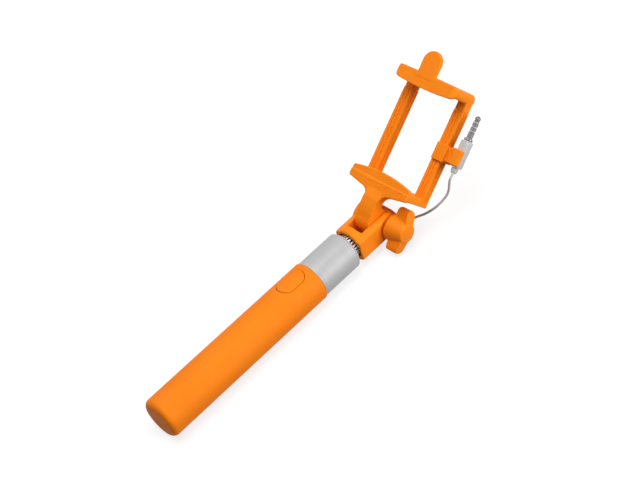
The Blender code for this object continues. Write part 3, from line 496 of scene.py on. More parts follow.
# %% Plastics
DULL_MIRROR = {"Specular IOR Level": 0.1}
SOFT_MIRROR = {"Specular IOR Level": 0.22}
soft_orange = plastic(
    "soft_orange",
    light=(0.92, 0.225, 0.006),
    deep=(0.88, 0.21, 0.005),
    drift=55.0,
    skin=2600.0,
    gloss=(0.5, 0.6),
    marks=(0.06, 60.0),
    depth=0.00004,
    fixed=DULL_MIRROR,
)
moulded_orange = plastic(
    "moulded_orange",
    light=(0.97, 0.25, 0.008),
    deep=(0.93, 0.235, 0.006),
    drift=70.0,
    skin=1100.0,
    gloss=(0.36, 0.46),
    marks=(0.08, 90.0),
    depth=0.00003,
    fixed=DULL_MIRROR,
)
grey_vinyl = plastic(
    "grey_vinyl",
    light=(0.53, 0.53, 0.515),
    deep=(0.48, 0.48, 0.47),
    drift=160.0,
    skin=1800.0,
    gloss=(0.42, 0.52),
    marks=(0.06, 150.0),
    depth=0.00003,
    fixed=SOFT_MIRROR,
)
black_nylon = plastic(
    "black_nylon",
    light=(0.03, 0.03, 0.032),
    deep=(0.018, 0.018, 0.02),
    drift=200.0,
    skin=1400.0,
    gloss=(0.4, 0.5),
    marks=(0.08, 120.0),
    depth=0.00003,
    fixed=SOFT_MIRROR,
)

# %% [markdown]
# ## The metals
# The collar is satin metal under a clear lacquer, so it mirrors little. The telescopic tubes are
# bright and lined along their length, as drawn tube is. Screws and springs are plain turned steel,
# and the plug's pin is a darker nickel.

# %% Metals
BARE_METAL = {"Metallic": 1.0}
LACQUERED = {"Metallic": 0.12, "Specular IOR Level": 0.3}
EVEN_LINES = (900.0, 900.0, 900.0)
satin_silver = metal(
    "satin_silver",
    stretch=(25.0, 5200.0, 25.0),
    light=(0.45, 0.45, 0.455),
    dark=(0.38, 0.38, 0.385),
    gloss=(0.42, 0.52),
    marks=(0.07, 80.0),
    depth=0.00001,
    fixed=LACQUERED,
)
bright_chrome = metal(
    "bright_chrome",
    stretch=(2400.0, 18.0, 2400.0),
    light=(0.78, 0.78, 0.79),
    dark=(0.7, 0.7, 0.715),
    gloss=(0.1, 0.2),
    marks=(0.06, 90.0),
    depth=0.000005,
    fixed=BARE_METAL,
)
turned_steel = metal(
    "turned_steel",
    stretch=EVEN_LINES,
    light=(0.42, 0.42, 0.43),
    dark=(0.33, 0.33, 0.345),
    gloss=(0.26, 0.4),
    marks=(0.06, 150.0),
    depth=0.000008,
    fixed=BARE_METAL,
)
dark_nickel = metal(
    "dark_nickel",
    stretch=EVEN_LINES,
    light=(0.23, 0.23, 0.235),
    dark=(0.17, 0.17, 0.175),
    gloss=(0.16, 0.26),
    marks=(0.06, 150.0),
    depth=0.000005,
    fixed=BARE_METAL,
)

# %% [markdown]
# ## The switch board's finish
# Under the button sits a small green board. It is seen only when the stick is taken apart, but a bare
# green would look unfinished there. A brick pattern set to thin joints reads as copper tracks under
# lacquer.

# %% Board finish
DULL_LACQUER, TRACK_LACQUER = 0.45, 0.25
green_board = bpy.data.materials.new("green_board")
green_board.use_nodes = True
tree = green_board.node_tree
surface = tree.nodes["Principled BSDF"]
board_place = tree.nodes.new("ShaderNodeTexCoord")
tracks = tree.nodes.new("ShaderNodeTexBrick")
tracks.inputs["Color1"].default_value = (0.02, 0.13, 0.05, 1)
tracks.inputs["Color2"].default_value = (0.025, 0.15, 0.06, 1)
tracks.inputs["Mortar"].default_value = (0.09, 0.3, 0.12, 1)
tracks.inputs["Scale"].default_value = 420.0
tracks.inputs["Mortar Size"].default_value = 0.06
tree.links.new(board_place.outputs["Object"], tracks.inputs["Vector"])
tree.links.new(tracks.outputs["Color"], surface.inputs["Base Color"])
lacquer = spread(tree.nodes, tree.links, tracks.outputs["Fac"], 0.0, 1.0, DULL_LACQUER, TRACK_LACQUER)
tree.links.new(lacquer, surface.inputs["Roughness"])
print("finish:", green_board.name)

# %% [markdown]
# ## Handing a piece over
# A finished piece gets its finish, the body that it moves with and the solid that it stands for.
# Doing all three in one place means that none is forgotten. The lead is the first. It rides on no
# body, since it runs from the head to the clamp.

# %% Hand over
def hand_over(piece, finish, slot, body, *solids):
    """Paint a piece, let it ride on a body and put it in the place of its solids."""
    piece.data.materials.clear()
    piece.data.materials.append(finish)
    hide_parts(*solids)
    if body:
        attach(piece, body)
    put_down()
    print(piece.name, "stands for", ", ".join(solids), "-", triangles(piece), "triangles")
    return piece


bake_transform(plug_lead)
hand_over(plug_lead, grey_vinyl, "grey", None, "lead_cable")

# %% [markdown]
# ## Turned pieces
# The grip, the collar, the tubes and the jack are all round, as from a lathe. A cylinder could be
# bevelled and inset for each, but half a section, drawn point by point and spun round the axis, shows
# the maker's profile at once and puts every edge where it belongs. Small arcs soften the corners, as
# on the real stick.

# %% The lathe
def corner(centre_r, centre_y, radius, first, last, count=4):
    """Points on a small arc of the profile, angles in degrees from outward."""
    points = []
    for i in range(count + 1):
        angle = math.radians(first + (last - first) * i / count)
        points.append((centre_r + radius * math.cos(angle), centre_y + radius * math.sin(angle)))
    return points


def turn(name, profile, steps, place=Matrix.Identity(4), closed=True):
    """Draw half a section in radius and height, and spin it round the Y axis."""
    put_down()
    bpy.ops.mesh.primitive_plane_add(size=0.001, location=(0, 0, 0))
    piece = bpy.context.object
    piece.name = name
    piece.data.name = name
    bpy.ops.object.mode_set(mode="EDIT")
    bpy.ops.mesh.select_mode(type="VERT")
    bpy.ops.mesh.select_all(action="SELECT")
    bpy.ops.mesh.merge(type="CENTER")
    bpy.ops.transform.translate(value=(*profile[0], 0))
    loop = profile + profile[:1] if closed else profile
    for (r0, y0), (r1, y1) in zip(loop, loop[1:]):
        bpy.ops.mesh.extrude_region_move(TRANSFORM_OT_translate={"value": (r1 - r0, y1 - y0, 0)})
    bpy.ops.mesh.select_all(action="SELECT")
    bpy.ops.mesh.spin(steps=steps, angle=math.tau, center=(0, 0, 0), axis=(0, 1, 0))
    close_up()
    settle(piece, place)
    shade(piece)
    return piece


ALONG_X = Matrix.Translation(PIVOT) @ Matrix.Rotation(math.radians(-90), 4, "Z")
print("lathe ready, pivot pieces lie along X at", shortened(PIVOT))

# %% [markdown]
# ## The soft grip
# The grip is a closed sleeve of soft-touch plastic with a well-rounded end. Its mouth meets the
# collar with a fine rounded edge. It is open at the mouth only, so its half section starts and ends
# on the axis. A few rings along the way keep the long faces from getting too thin.

# %% Grip sleeve
GRIP_R, GRIP_END, GRIP_BORE = 0.0125, 0.119, 0.0111
END_RING, END_ROUND, END_WALL, MOUTH_ROUND = 0.0045, 0.0035, 0.003, 0.0004
GRIP_RINGS = (0.03, 0.06, 0.09)
grip_profile = [(0.0, 0.0), (END_RING, 0.0)]
grip_profile += corner(GRIP_R - END_ROUND, END_ROUND, END_ROUND, -90, 0, 12)
grip_profile += [(GRIP_R, height) for height in GRIP_RINGS]
grip_profile += corner(GRIP_R - MOUTH_ROUND, GRIP_END - MOUTH_ROUND, MOUTH_ROUND, 0, 90, 5)
grip_profile += [(GRIP_BORE, GRIP_END), (GRIP_BORE, END_WALL), (0.0, END_WALL)]
soft_grip = turn("soft_grip", grip_profile, steps=144, closed=False)
print("grip sleeve:", len(grip_profile), "points in its section")

# %% [markdown]
# ## The button's hole
# Near the mouth an oblong hole takes the shutter button. It is cut with a stadium-shaped punch: a
# cylinder whose two halves are pulled apart. The hole is wider than the button by a hair all round.

# %% Button hole
BUTTON_Y, BUTTON_LONG, BUTTON_WIDE, BUTTON_GAP = 0.106, 0.009, 0.0056, 0.0003
HOLE_LOW, HOLE_HIGH = 0.004, 0.016


def stadium_punch(name, half_length, half_width, low, high):
    """A cylinder pulled apart into an oblong, standing up at the button's place."""
    put_down()
    middle = (0.0, BUTTON_Y, (low + high) / 2)
    bpy.ops.mesh.primitive_cylinder_add(
        vertices=96, radius=half_width, depth=high - low, location=middle
    )
    punch = bpy.context.object
    punch.name = name
    bpy.ops.object.transform_apply(location=True, rotation=True, scale=True)
    for way in (-1, 1):
        work_on(punch)
        pick(punch, lambda spot: (spot.y - BUTTON_Y) * way > 1e-6)
        bpy.ops.transform.translate(value=(0, way * (half_length - half_width), 0))
    put_down()
    return punch


hole_size = (BUTTON_LONG + BUTTON_GAP, BUTTON_WIDE + BUTTON_GAP)
cut(soft_grip, stadium_punch("hole_punch", *hole_size, HOLE_LOW, HOLE_HIGH))
shade(soft_grip)
hand_over(soft_grip, soft_orange, "grip", "handle", "grip_sleeve")

# %% [markdown]
# ## The shutter button
# The button is the same oblong, a hair smaller, and its top follows the grip's round so that the
# thumb finds it by its edge. An oblong block is trimmed by a cylinder as round as the grip, and then
# remeshed and smoothed, which rolls its rim over as a mould does.

# %% Button
BLOCK_HIGH, CROWN_LENGTH = 0.0145, 0.04


def soften(piece, grain, passes):
    """Roll all edges over: remesh to an even grain and smooth it."""
    apply_step(piece, "REMESH", mode="VOXEL", voxel_size=grain, adaptivity=0.0)
    apply_step(piece, "SMOOTH", factor=0.5, iterations=passes)
    take_up(piece)
    bpy.ops.object.shade_smooth()
    return piece


button_low, button_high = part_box("shutter_button")
shutter = stadium_punch("shutter_cap", BUTTON_LONG, BUTTON_WIDE, button_low.z, BLOCK_HIGH)
put_down()
bpy.ops.mesh.primitive_cylinder_add(
    vertices=192,
    radius=button_high.z,
    depth=CROWN_LENGTH,
    location=(0, BUTTON_Y, 0),
    rotation=(math.pi / 2, 0, 0),
)
cut(shutter, bpy.context.object, operation="INTERSECT")
soften(shutter, grain=0.00014, passes=5)
hand_over(shutter, soft_orange, "grip", "button", "shutter_button")

# %% [markdown]
# ## The silver collar
# Between grip and fork sits a plain turned collar of satin metal. Its top edge is chamfered, and
# every corner is broken by a hair's breadth, which is what catches the light on a turned piece. It is
# left bare.

# %% Collar
COLLAR_R, COLLAR_LOW, COLLAR_HIGH = 0.0119, 0.1193, 0.148
COLLAR_BORE, COLLAR_MOUTH, COLLAR_TOP, COLLAR_RINGS = 0.0111, 0.0082, 0.0012, (0.138, 0.129)
CHAMFER, TOP_BREAK, FOOT_BREAK = 0.0016, 0.0003, 0.0002
under_top = COLLAR_HIGH - COLLAR_TOP
collar_profile = [(COLLAR_MOUTH, COLLAR_HIGH)]
collar_profile += corner(COLLAR_R - CHAMFER, COLLAR_HIGH - TOP_BREAK, TOP_BREAK, 90, 45, 3)
collar_profile += corner(COLLAR_R - TOP_BREAK, COLLAR_HIGH - CHAMFER, TOP_BREAK, 45, 0, 3)
collar_profile += [(COLLAR_R, height) for height in COLLAR_RINGS]
collar_profile += corner(COLLAR_R - FOOT_BREAK, COLLAR_LOW + FOOT_BREAK, FOOT_BREAK, 0, -90, 3)
collar_profile += [(COLLAR_BORE, COLLAR_LOW), (COLLAR_BORE, under_top), (COLLAR_MOUTH, under_top)]
silver_collar = turn("silver_collar", collar_profile, steps=144)
hand_over(silver_collar, satin_silver, "silver", "handle", "collar")

# %% [markdown]
# ## The telescopic sections
# Five bright tubes hide in the handle and slide out one after another. Each is drawn tube with a
# rounded mouth and a shallow rolled groove below it, where the real tube is crimped to hold its bush.
# The same profile makes all five, with each tube's own radius, foot and top.

# %% Sections
TUBE_WALL, CRIMP, MOUTH_EDGE = 0.0005, 0.00012, 0.0002
CRIMP_FROM, CRIMP_IN, CRIMP_OUT, CRIMP_TO = 0.0036, 0.0032, 0.0027, 0.0023
for number in range(1, 6):
    low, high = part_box(f"section_{number}")
    outside, top = high.x, high.y
    inside, crimped = outside - TUBE_WALL, outside - CRIMP
    tube = [(inside, low.y), (outside, low.y), (outside, top - CRIMP_FROM)]
    tube += [(crimped, top - CRIMP_IN), (crimped, top - CRIMP_OUT), (outside, top - CRIMP_TO)]
    tube += corner(outside - MOUTH_EDGE, top - MOUTH_EDGE, MOUTH_EDGE, 0, 90, 3) + [(inside, top)]
    body = "head" if number == 5 else f"section_{number}"
    bright_tube = turn(f"bright_tube_{number}", tube, steps=72)
    hand_over(bright_tube, bright_chrome, "bright", body, f"section_{number}")

# %% [markdown]
# ## The ribbed ring's finish
# A narrow bright ring with fine ribs closes the gap between collar and fork. Its plating is painted
# darker in the grooves than on the ribs, as painted shade for the little light that reaches down into
# them. Paint masks could tell the two apart, but a point's distance from the axis does it without
# any.

# %% Ring finish
RING_R, RING_ROOT, RING_MARGIN, GROOVE_SHADE = 0.0072, 0.0066, 0.0001, 0.05
ribbed_plate = plastic(
    "ribbed_plate",
    light=(0.92, 0.94, 0.94),
    deep=(0.86, 0.88, 0.88),
    drift=160.0,
    skin=1800.0,
    gloss=(0.2, 0.28),
    marks=(0.06, 150.0),
    depth=0.00001,
    fixed={"Metallic": 0.35},
)
tree = ribbed_plate.node_tree
surface = tree.nodes["Principled BSDF"]
unshaded_colour = surface.inputs["Base Color"].links[0].from_socket
flat_place = tree.nodes.new("ShaderNodeVectorMath")
flat_place.operation = "MULTIPLY"
flat_place.inputs[1].default_value = (1.0, 0.0, 1.0)
tree.links.new(tree.nodes.new("ShaderNodeTexCoord").outputs["Object"], flat_place.inputs[0])
from_axis = tree.nodes.new("ShaderNodeVectorMath")
from_axis.operation = "LENGTH"
tree.links.new(flat_place.outputs["Vector"], from_axis.inputs[0])
groove_to_rib = (RING_ROOT + RING_MARGIN, RING_R - RING_MARGIN)
# Painted shade: the plating colour is darkened towards the groove floors, nearer the axis, where less
# light reaches.
painted_shade = spread(tree.nodes, tree.links, from_axis.outputs["Value"], *groove_to_rib, GROOVE_SHADE, 1.0)
shaded_plating = mix_colours(tree.nodes, tree.links, 1.0, unshaded_colour, painted_shade, way="MULTIPLY")
tree.links.new(shaded_plating, surface.inputs["Base Color"])
print("grooves keep", GROOVE_SHADE, "of the plating's colour")

# %% [markdown]
# ## The ribbed ring
# A circle is pulled up into a plain band, and above the band every other stretch is drawn in, which
# makes the grooves. The edges at both ends step in a little, so that they catch the light. At the top
# the edge goes inwards and down again as the bore, and a bridge closes the foot.

# %% Ring band
RIBS, RIB_STEPS, GROOVE_FROM, GROOVE_TO = 22, 8, 0.5, 0.95
BAND, EDGE, HAIR = 0.0009, 0.0002, 0.00002
EDGE_IN, GROOVE_IN, BORE_IN = 0.975, 0.915, 0.64
ring_low, ring_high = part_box("ribbed_ring")
axis_spot = (0.0, ring_low.y, 0.0)
put_down()
bpy.ops.mesh.primitive_circle_add(
    vertices=RIBS * RIB_STEPS, radius=RING_R, location=axis_spot, rotation=(math.pi / 2, 0, 0)
)
ribbed = bpy.context.object
ribbed.name = "ribbed_band"
bpy.ops.object.transform_apply(location=True, rotation=True, scale=True)


def widen(size):
    """Set the width of what is selected, as a share of what it was."""
    bpy.ops.transform.resize(value=(size, 1, size), center_override=axis_spot)


def climb_by(climb, size=1.0):
    """Extrude the open edge upwards and set its new width."""
    bpy.ops.mesh.extrude_edges_move(TRANSFORM_OT_translate={"value": (0, climb, 0)})
    widen(size)


work_on(ribbed)
bpy.ops.mesh.select_all(action="SELECT")
widen(EDGE_IN)
climb_by(EDGE, 1 / EDGE_IN)
climb_by(BAND - EDGE)
climb_by(2 * HAIR)
print("band:", round(BAND * 1000, 2), "mm high")

# %% Ring ribs
def in_groove(spot):
    turn_share = (math.atan2(spot.z, spot.x) / math.tau * RIBS) % 1.0
    return GROOVE_FROM < turn_share < GROOVE_TO


above_band = ring_low.y + BAND + HAIR
rise = ring_high.y - ring_low.y
pick(ribbed, lambda spot: spot.y > above_band and in_groove(spot))
widen(GROOVE_IN)
pick(ribbed, lambda spot: spot.y > above_band)
climb_by(rise - BAND - 2 * HAIR - EDGE)
climb_by(EDGE, EDGE_IN)
climb_by(0.0, BORE_IN)
climb_by(-rise)
pick(ribbed, lambda spot: spot.y < ring_low.y + HAIR)
bpy.ops.mesh.bridge_edge_loops()
close_up()
shade(ribbed, sharp=25)
hand_over(ribbed, ribbed_plate, "bright", "head", "ribbed_ring")

# %% [markdown]
# ## The moulded head
# Fork, knob and plug clip, like the jaws, are injection mouldings: flat walls, blended together, with
# no sharp edge anywhere. Each could be boxed up again from a cube, but the solids already hold every
# wall in its place. So a copy of the solid is welded, remeshed to a fine even grain and smoothed
# until its edges roll over like moulded ones. A tilted piece is laid straight for that, so that the
# grain follows its walls.

# %% Mouldings from solids
def weld_copy(solid_name, name):
    """A welded copy of a solid, with the solid left alone."""
    take_up(frame["nodes"][solid_name])
    bpy.ops.object.duplicate()
    piece = bpy.context.object
    bpy.ops.object.parent_clear(type="CLEAR_KEEP_TRANSFORM")
    piece.name = name
    piece.data.name = name
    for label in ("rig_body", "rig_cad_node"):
        del piece[label]
    bpy.ops.object.mode_set(mode="EDIT")
    bpy.ops.mesh.select_all(action="SELECT")
    bpy.ops.mesh.remove_doubles(threshold=1e-7)
    put_down()
    return piece


def straight_copy(solid_name, name):
    """A welded copy of one of the clamp's solids, laid straight."""
    return settle(weld_copy(solid_name, name), CLAMP.inverted())


fork = soften(weld_copy("yoke", "fork_moulding"), grain=0.00028, passes=12)
hand_over(fork, moulded_orange, "orange", "head", "yoke")
wing = soften(weld_copy("wing_knob", "wing_moulding"), grain=0.00024, passes=16)
hand_over(wing, moulded_orange, "orange", "knob", "wing_knob")
clip = soften(straight_copy("plug_clip", "clip_moulding"), grain=0.0002, passes=3)
settle(clip, CLAMP)
hand_over(clip, moulded_orange, "orange", "clamp", "plug_clip")

# %% [markdown]
# ## The lower jaw
# The jaws are softer to look at than the rest: their lips and the upper plate are rounded like a
# pebble, but the seats for the guide tubes stay crisp. So a jaw is smoothed all over a little, and
# then only the picked part of it a lot. A fine groove runs along the lower lip's front, where two
# halves of the mould met. A round bar that follows the line cuts it.

# %% Lower jaw
JAW_GRAIN, LIP_BEHIND = 0.00026, 0.002
JAW_FRONT, JAW_END, GROOVE = 0.015, 0.02295, 0.00026


def soften_part(piece, passes, wanted):
    """Smooth only the vertices whose place answers a question."""
    work_on(piece)
    pick(piece, wanted)
    bpy.ops.object.vertex_group_assign_new()
    picked = piece.vertex_groups[0].name
    apply_step(piece, "SMOOTH", factor=0.5, iterations=passes, vertex_group=picked)
    piece.vertex_groups.clear()


lower = soften(straight_copy("lower_jaw", "lower_jaw_moulding"), JAW_GRAIN, passes=3)
soften_part(lower, 12, lambda spot: spot.z > LIP_BEHIND)
along_front = ((-0.0085, 0.0182), (0.0, 0.0192), (0.0075, 0.0197), (0.0165, 0.01995))
groove_line = [Vector((x, y, JAW_FRONT)) for x, y in along_front]
groove_line += [Vector((JAW_END - 0.0008, 0.0201, JAW_FRONT - 0.0002))]
groove_line += [Vector((JAW_END, 0.0202, JAW_FRONT - 0.0012)), Vector((JAW_END, 0.0205, LIP_BEHIND))]
cut(lower, round_line("groove_cutter", smooth_line(groove_line, steps=6), GROOVE))
settle(lower, CLAMP)
hand_over(lower, moulded_orange, "orange", "clamp", "lower_jaw")

# %% [markdown]
# ## The upper jaw
# The upper jaw slides on two legs, and its two roots come down round them to the guide tubes. Only
# the plate above is smoothed a lot. The roots are let down to a hair above the tubes' tops, because
# closed jaws show no daylight there.

# %% Upper jaw
PLATE_UNDER = 0.0812
TUBE_TOP, ROOT_FOOT, SEAM = 0.0760, 0.0761, 0.00005
upper = soften(straight_copy("upper_jaw", "upper_jaw_moulding"), JAW_GRAIN, passes=1)
soften_part(upper, 26, lambda spot: spot.y > PLATE_UNDER)
work_on(upper)
pick(upper, lambda spot: spot.y < ROOT_FOOT + JAW_GRAIN)
bpy.ops.transform.translate(value=(0, TUBE_TOP + SEAM - ROOT_FOOT, 0))
settle(upper, CLAMP)
hand_over(upper, moulded_orange, "orange", "jaw", "upper_jaw")

# %% [markdown]
# ## Bars
# The guide tubes, the legs and the plug all start as a bar: a cube at its size and place, with the
# four edges along it bevelled.

# %% Bar helpers
def bar(name, middle, half, foot, top):
    """A cube set to its size and place, with both left in its mesh."""
    put_down()
    low = Vector((middle[0] - half[0], foot, middle[1] - half[1]))
    high = Vector((middle[0] + half[0], top, middle[1] + half[1]))
    bpy.ops.mesh.primitive_cube_add(size=1.0, location=(high + low) / 2, scale=high - low)
    piece = bpy.context.object
    piece.name = name
    piece.data.name = name
    bpy.ops.object.transform_apply(location=True, rotation=True, scale=True)
    return piece


def bevel_upright(piece, width, segments):
    """Bevel only the edges that run along Y."""
    work_on(piece)
    bpy.ops.mesh.select_mode(type="EDGE")
    bpy.ops.object.mode_set(mode="OBJECT")
    for edge in piece.data.edges:
        a, b = (piece.data.vertices[i].co for i in edge.vertices)
        edge.select = abs(a.x - b.x) < 1e-7 and abs(a.z - b.z) < 1e-7
    bpy.ops.object.mode_set(mode="EDIT")
    bpy.ops.mesh.bevel(offset=width, segments=segments, affect="EDGES")
    put_down()


def bevel_sharp(piece, width, segments, sharp=60):
    """Bevel all edges that turn by more than so many degrees, such as a bar's ends."""
    shape = {"width": width, "segments": segments}
    apply_step(piece, "BEVEL", limit_method="ANGLE", angle_limit=math.radians(sharp), **shape)


GUIDE_X = 0.0195
GUIDE = (GUIDE_X, GUIDE_V)
print("guide tubes stand", round(GUIDE_X * 2000, 1), "mm apart")

# %% [markdown]
# ## The fluted guide tubes
# Two square tubes carry the upper jaw, with two shallow flutes down each face that stiffen the thin
# wall. They could be extruded from a fluted section. Here a bar gets its corners bevelled and a set
# of round cutters takes out the flutes, so that each flute is one number to change.

# %% Guide tube
TUBE_HALF, TUBE_FOOT = (0.00345, 0.0032), 0.0208
FLUTE_R, FLUTE_OFF, FLUTE_MIDDLE, FLUTE_LENGTH = 0.00045, 0.0011, 0.05, 0.08
fluted = bar("fluted_tube_right", GUIDE, TUBE_HALF, TUBE_FOOT, TUBE_TOP)
bevel_upright(fluted, width=0.0005, segments=4)
flutes = []
for face in range(4):
    to_face = Matrix.Rotation(math.radians(90 * face), 4, "Y")
    for off in (-FLUTE_OFF, FLUTE_OFF):
        spot = to_face @ Vector((off, FLUTE_MIDDLE, TUBE_HALF[1 - face % 2]))
        put_down()
        bpy.ops.mesh.primitive_cylinder_add(
            vertices=20,
            radius=FLUTE_R,
            depth=FLUTE_LENGTH,
            location=spot + Vector((GUIDE_X, 0, GUIDE_V)),
            rotation=(math.pi / 2, 0, 0),
        )
        flutes.append(bpy.context.object)
put_down()
for flute in flutes:
    flute.select_set(True)
bpy.context.view_layer.objects.active = flutes[0]
bpy.ops.object.join()
cut(fluted, flutes[0])
print("fluted tube:", triangles(fluted), "triangles")

# %% [markdown]
# ## Bore and left tube
# The bore that takes the sliding leg is a smaller bar, sunk from the top. One tube is made, and the
# other is its copy on the left, with a mesh of its own.

# %% Bore and left tube
BORE_HALF, BORE_FLOOR, BORE_PAST = (0.0027, 0.00245), 0.0233, 0.09
bore = bar("bore_punch", GUIDE, BORE_HALF, BORE_FLOOR, BORE_PAST)
bevel_upright(bore, width=0.0003, segments=2)
cut(fluted, bore)


def left_copy(piece, name):
    """The same piece on the left, with a mesh of its own."""
    take_up(piece)
    bpy.ops.object.duplicate()
    twin = bpy.context.object
    twin.name = name
    twin.data.name = name
    return settle(twin, Matrix.Translation((-2 * GUIDE_X, 0, 0)))


fluted_left = left_copy(fluted, "fluted_tube_left")
for tube, side in ((fluted, "right"), (fluted_left, "left")):
    shade(settle(tube, CLAMP))
    hand_over(tube, moulded_orange, "orange", "clamp", f"guide_tube_{side}")

# %% [markdown]
# ## The sliding legs
# The upper jaw's legs run in the bores, and a little of each shows when the jaws open. They are plain
# bars with rounded edges, again one and its copy.

# %% Sliding legs
LEG_HALF, LEG_FOOT, LEG_TOP = (0.0024, 0.00215), 0.04, 0.0772
leg = bar("sliding_leg_right", GUIDE, LEG_HALF, LEG_FOOT, LEG_TOP)
bevel_upright(leg, width=0.0004, segments=3)
bevel_sharp(leg, width=0.00015, segments=2)
leg_left = left_copy(leg, "sliding_leg_left")
for piece, side in ((leg, "right"), (leg_left, "left")):
    shade(settle(piece, CLAMP))
    hand_over(piece, moulded_orange, "orange", "jaw", f"jaw_leg_{side}")

# %% [markdown]
# ## The plug
# The lead ends in a small grey plug, parked in the clip. The body is a bar with generous corners. The
# strain relief below it is turned: a short barrel with a waist, where the real one gives way as the
# lead bends.

# %% Plug body and strain relief
PLUG_AXIS = CLAMP @ Matrix.Translation((PLUG_X, 0, GUIDE_V))
PLUG_HALF, PLUG_FOOT, PLUG_TOP = (0.0031, 0.0032), 0.0462, 0.0623
plug = bar("plug_moulding", (0.0, 0.0), PLUG_HALF, PLUG_FOOT, PLUG_TOP)
bevel_upright(plug, width=0.0021, segments=6)
bevel_sharp(plug, width=0.0005, segments=4)
shade(settle(plug, PLUG_AXIS))
hand_over(plug, grey_vinyl, "grey", "clamp", "plug_body")
SMALL_ROUND = 0.0002
relief = [(0.0, 0.0459), (0.0019, 0.0459)] + corner(0.0019, 0.0457, SMALL_ROUND, 90, 0, 3)
relief += [(0.0021, 0.0446), (0.00195, 0.0443), (0.00195, 0.0439)]
relief += [(0.00203, 0.0437), (0.0018, 0.0432)]
relief += corner(0.0013, 0.0427, SMALL_ROUND, 0, -90, 3) + [(0.0, 0.0425)]
plug_stub = turn("plug_stub", relief, 48, PLUG_AXIS, closed=False)
hand_over(plug_stub, grey_vinyl, "grey", "clamp", "plug_relief")

# %% [markdown]
# ## The pin's sleeve and rings
# The pin has four poles: a long sleeve with a flange, two short rings and a tip. Each is turned with
# its edges broken by a hair, and a small gap is left between them for the bands.

# %% Pin sleeve and rings
PIN, POLE_BORE, POLE_EDGE = 0.00175, 0.0011, 0.0001
FLANGE_R, FLANGE_LOW, FLANGE_HIGH = 0.0024, 0.0626, 0.064
SLEEVE_TOP, SLEEVE_EDGE, RING_LENGTH, RING_GAP = 0.0682, 0.00015, 0.002, 0.0007


def pin_pole(name, profile, node_name):
    """Turn one pole of the pin on the plug's axis."""
    return hand_over(turn(name, profile, 48, PLUG_AXIS), dark_nickel, "bright", "clamp", node_name)


sleeve = [(POLE_BORE, FLANGE_LOW)]
sleeve += corner(FLANGE_R, FLANGE_LOW + SMALL_ROUND, SMALL_ROUND, -90, 0, 3)
sleeve += corner(FLANGE_R, FLANGE_HIGH - SMALL_ROUND, SMALL_ROUND, 0, 90, 3)
sleeve += [(PIN, FLANGE_HIGH), (PIN, SLEEVE_TOP - SLEEVE_EDGE)]
sleeve += [(PIN - SLEEVE_EDGE, SLEEVE_TOP), (POLE_BORE, SLEEVE_TOP)]
pin_pieces = [pin_pole("pin_sleeve", sleeve, "jack_sleeve")]
for number in (1, 2):
    low = SLEEVE_TOP + RING_GAP * number + RING_LENGTH * (number - 1)
    high = low + RING_LENGTH
    pole = [(POLE_BORE, low), (PIN - POLE_EDGE, low), (PIN, low + POLE_EDGE)]
    pole += [(PIN, high - POLE_EDGE), (PIN - POLE_EDGE, high), (POLE_BORE, high)]
    pin_pieces.append(pin_pole(f"pin_ring_{number}", pole, f"jack_ring_{number}"))

# %% [markdown]
# ## The pin's tip
# The tip is what a socket's spring catches: a waist, a shoulder and a blunt cone. It is drawn in
# shares of the pin's radius, which keeps its outline when the pin changes.

# %% Pin tip
TIP_LOW, TIP_HIGH, TIP_SOCKET = 0.0743, 0.0778, 0.00185
tip_outline = [(1.0, 0.0), (0.9, 0.0003), (0.75, 0.0007)]
tip_outline += [(0.86, 0.0013), (1.0, 0.0019), (0.92, 0.0023)]
tip = [(POLE_BORE, TIP_LOW)] + [(PIN * share, TIP_LOW + climb) for share, climb in tip_outline]
tip += [(PIN * 0.45, TIP_HIGH - 0.0003), (PIN * 0.22, TIP_HIGH - 0.00006), (0.0, TIP_HIGH)]
tip += [(0.0, TIP_LOW + TIP_SOCKET), (POLE_BORE, TIP_LOW + TIP_SOCKET)]
pin_pieces.append(pin_pole("pin_tip", tip, "jack_tip"))

# %% [markdown]
# ## The pin's bands
# Pale plastic bands part the poles. On the real plug they are one moulding that runs through the
# middle of the pin, so they are turned here in one piece too: a thin core with three collars.

# %% Pin bands
CORE_R, CORE_LOW, CORE_HIGH, BAND_EDGE = 0.001, 0.0661, 0.07605, 0.0001
core = [(0.0, CORE_LOW), (CORE_R, CORE_LOW)]
for number in range(3):
    low = SLEEVE_TOP + (RING_LENGTH + RING_GAP) * number + BAND_EDGE
    high = low + RING_GAP - 2 * BAND_EDGE
    core += [(CORE_R, low), (PIN - BAND_EDGE, low), (PIN - BAND_EDGE, high), (CORE_R, high)]
core += [(CORE_R, CORE_HIGH), (0.0, CORE_HIGH)]
pin_bands = turn("pin_bands", core, 48, PLUG_AXIS, closed=False)
pin_pieces.append(hand_over(pin_bands, grey_vinyl, "grey", "clamp", "jack_core"))

# %% [markdown]
# ## The pivot's washer and screw
# The head tilts on a screw that the knob turns, with a washer under the knob. Both are turned. A
# thread is a helix, but so fine a one looks the same as a row of rings, which the lathe makes in the
# same go.

# %% Washer and pivot screw
WASHER_BORE, WASHER_R, WASHER_LOW, WASHER_HIGH = 0.0027, 0.005, 0.01015, 0.01115
washer = [(WASHER_BORE, WASHER_LOW)]
washer += corner(WASHER_R, WASHER_LOW + SMALL_ROUND, SMALL_ROUND, -90, 0, 3)
washer += corner(WASHER_R, WASHER_HIGH - SMALL_ROUND, SMALL_ROUND, 0, 90, 3)
washer += [(WASHER_BORE, WASHER_HIGH)]
hand_over(turn("flat_washer", washer, 64, ALONG_X), turned_steel, "steel", "washer", "pivot_washer")
SCREW_R, THREAD_ROOT, THREAD_RISE, THREAD_END = 0.0024, 0.0021, 0.0005, -0.004
screw_low, screw_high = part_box("pivot_screw")
screw = [(0.0, screw_low.x), (0.0019, screw_low.x), (SCREW_R, screw_low.x + 0.0005)]
thread = screw_low.x + 0.0007
while thread < THREAD_END:
    screw += [(SCREW_R, thread), (THREAD_ROOT, thread + 0.0002), (SCREW_R, thread + 0.0004)]
    thread += THREAD_RISE
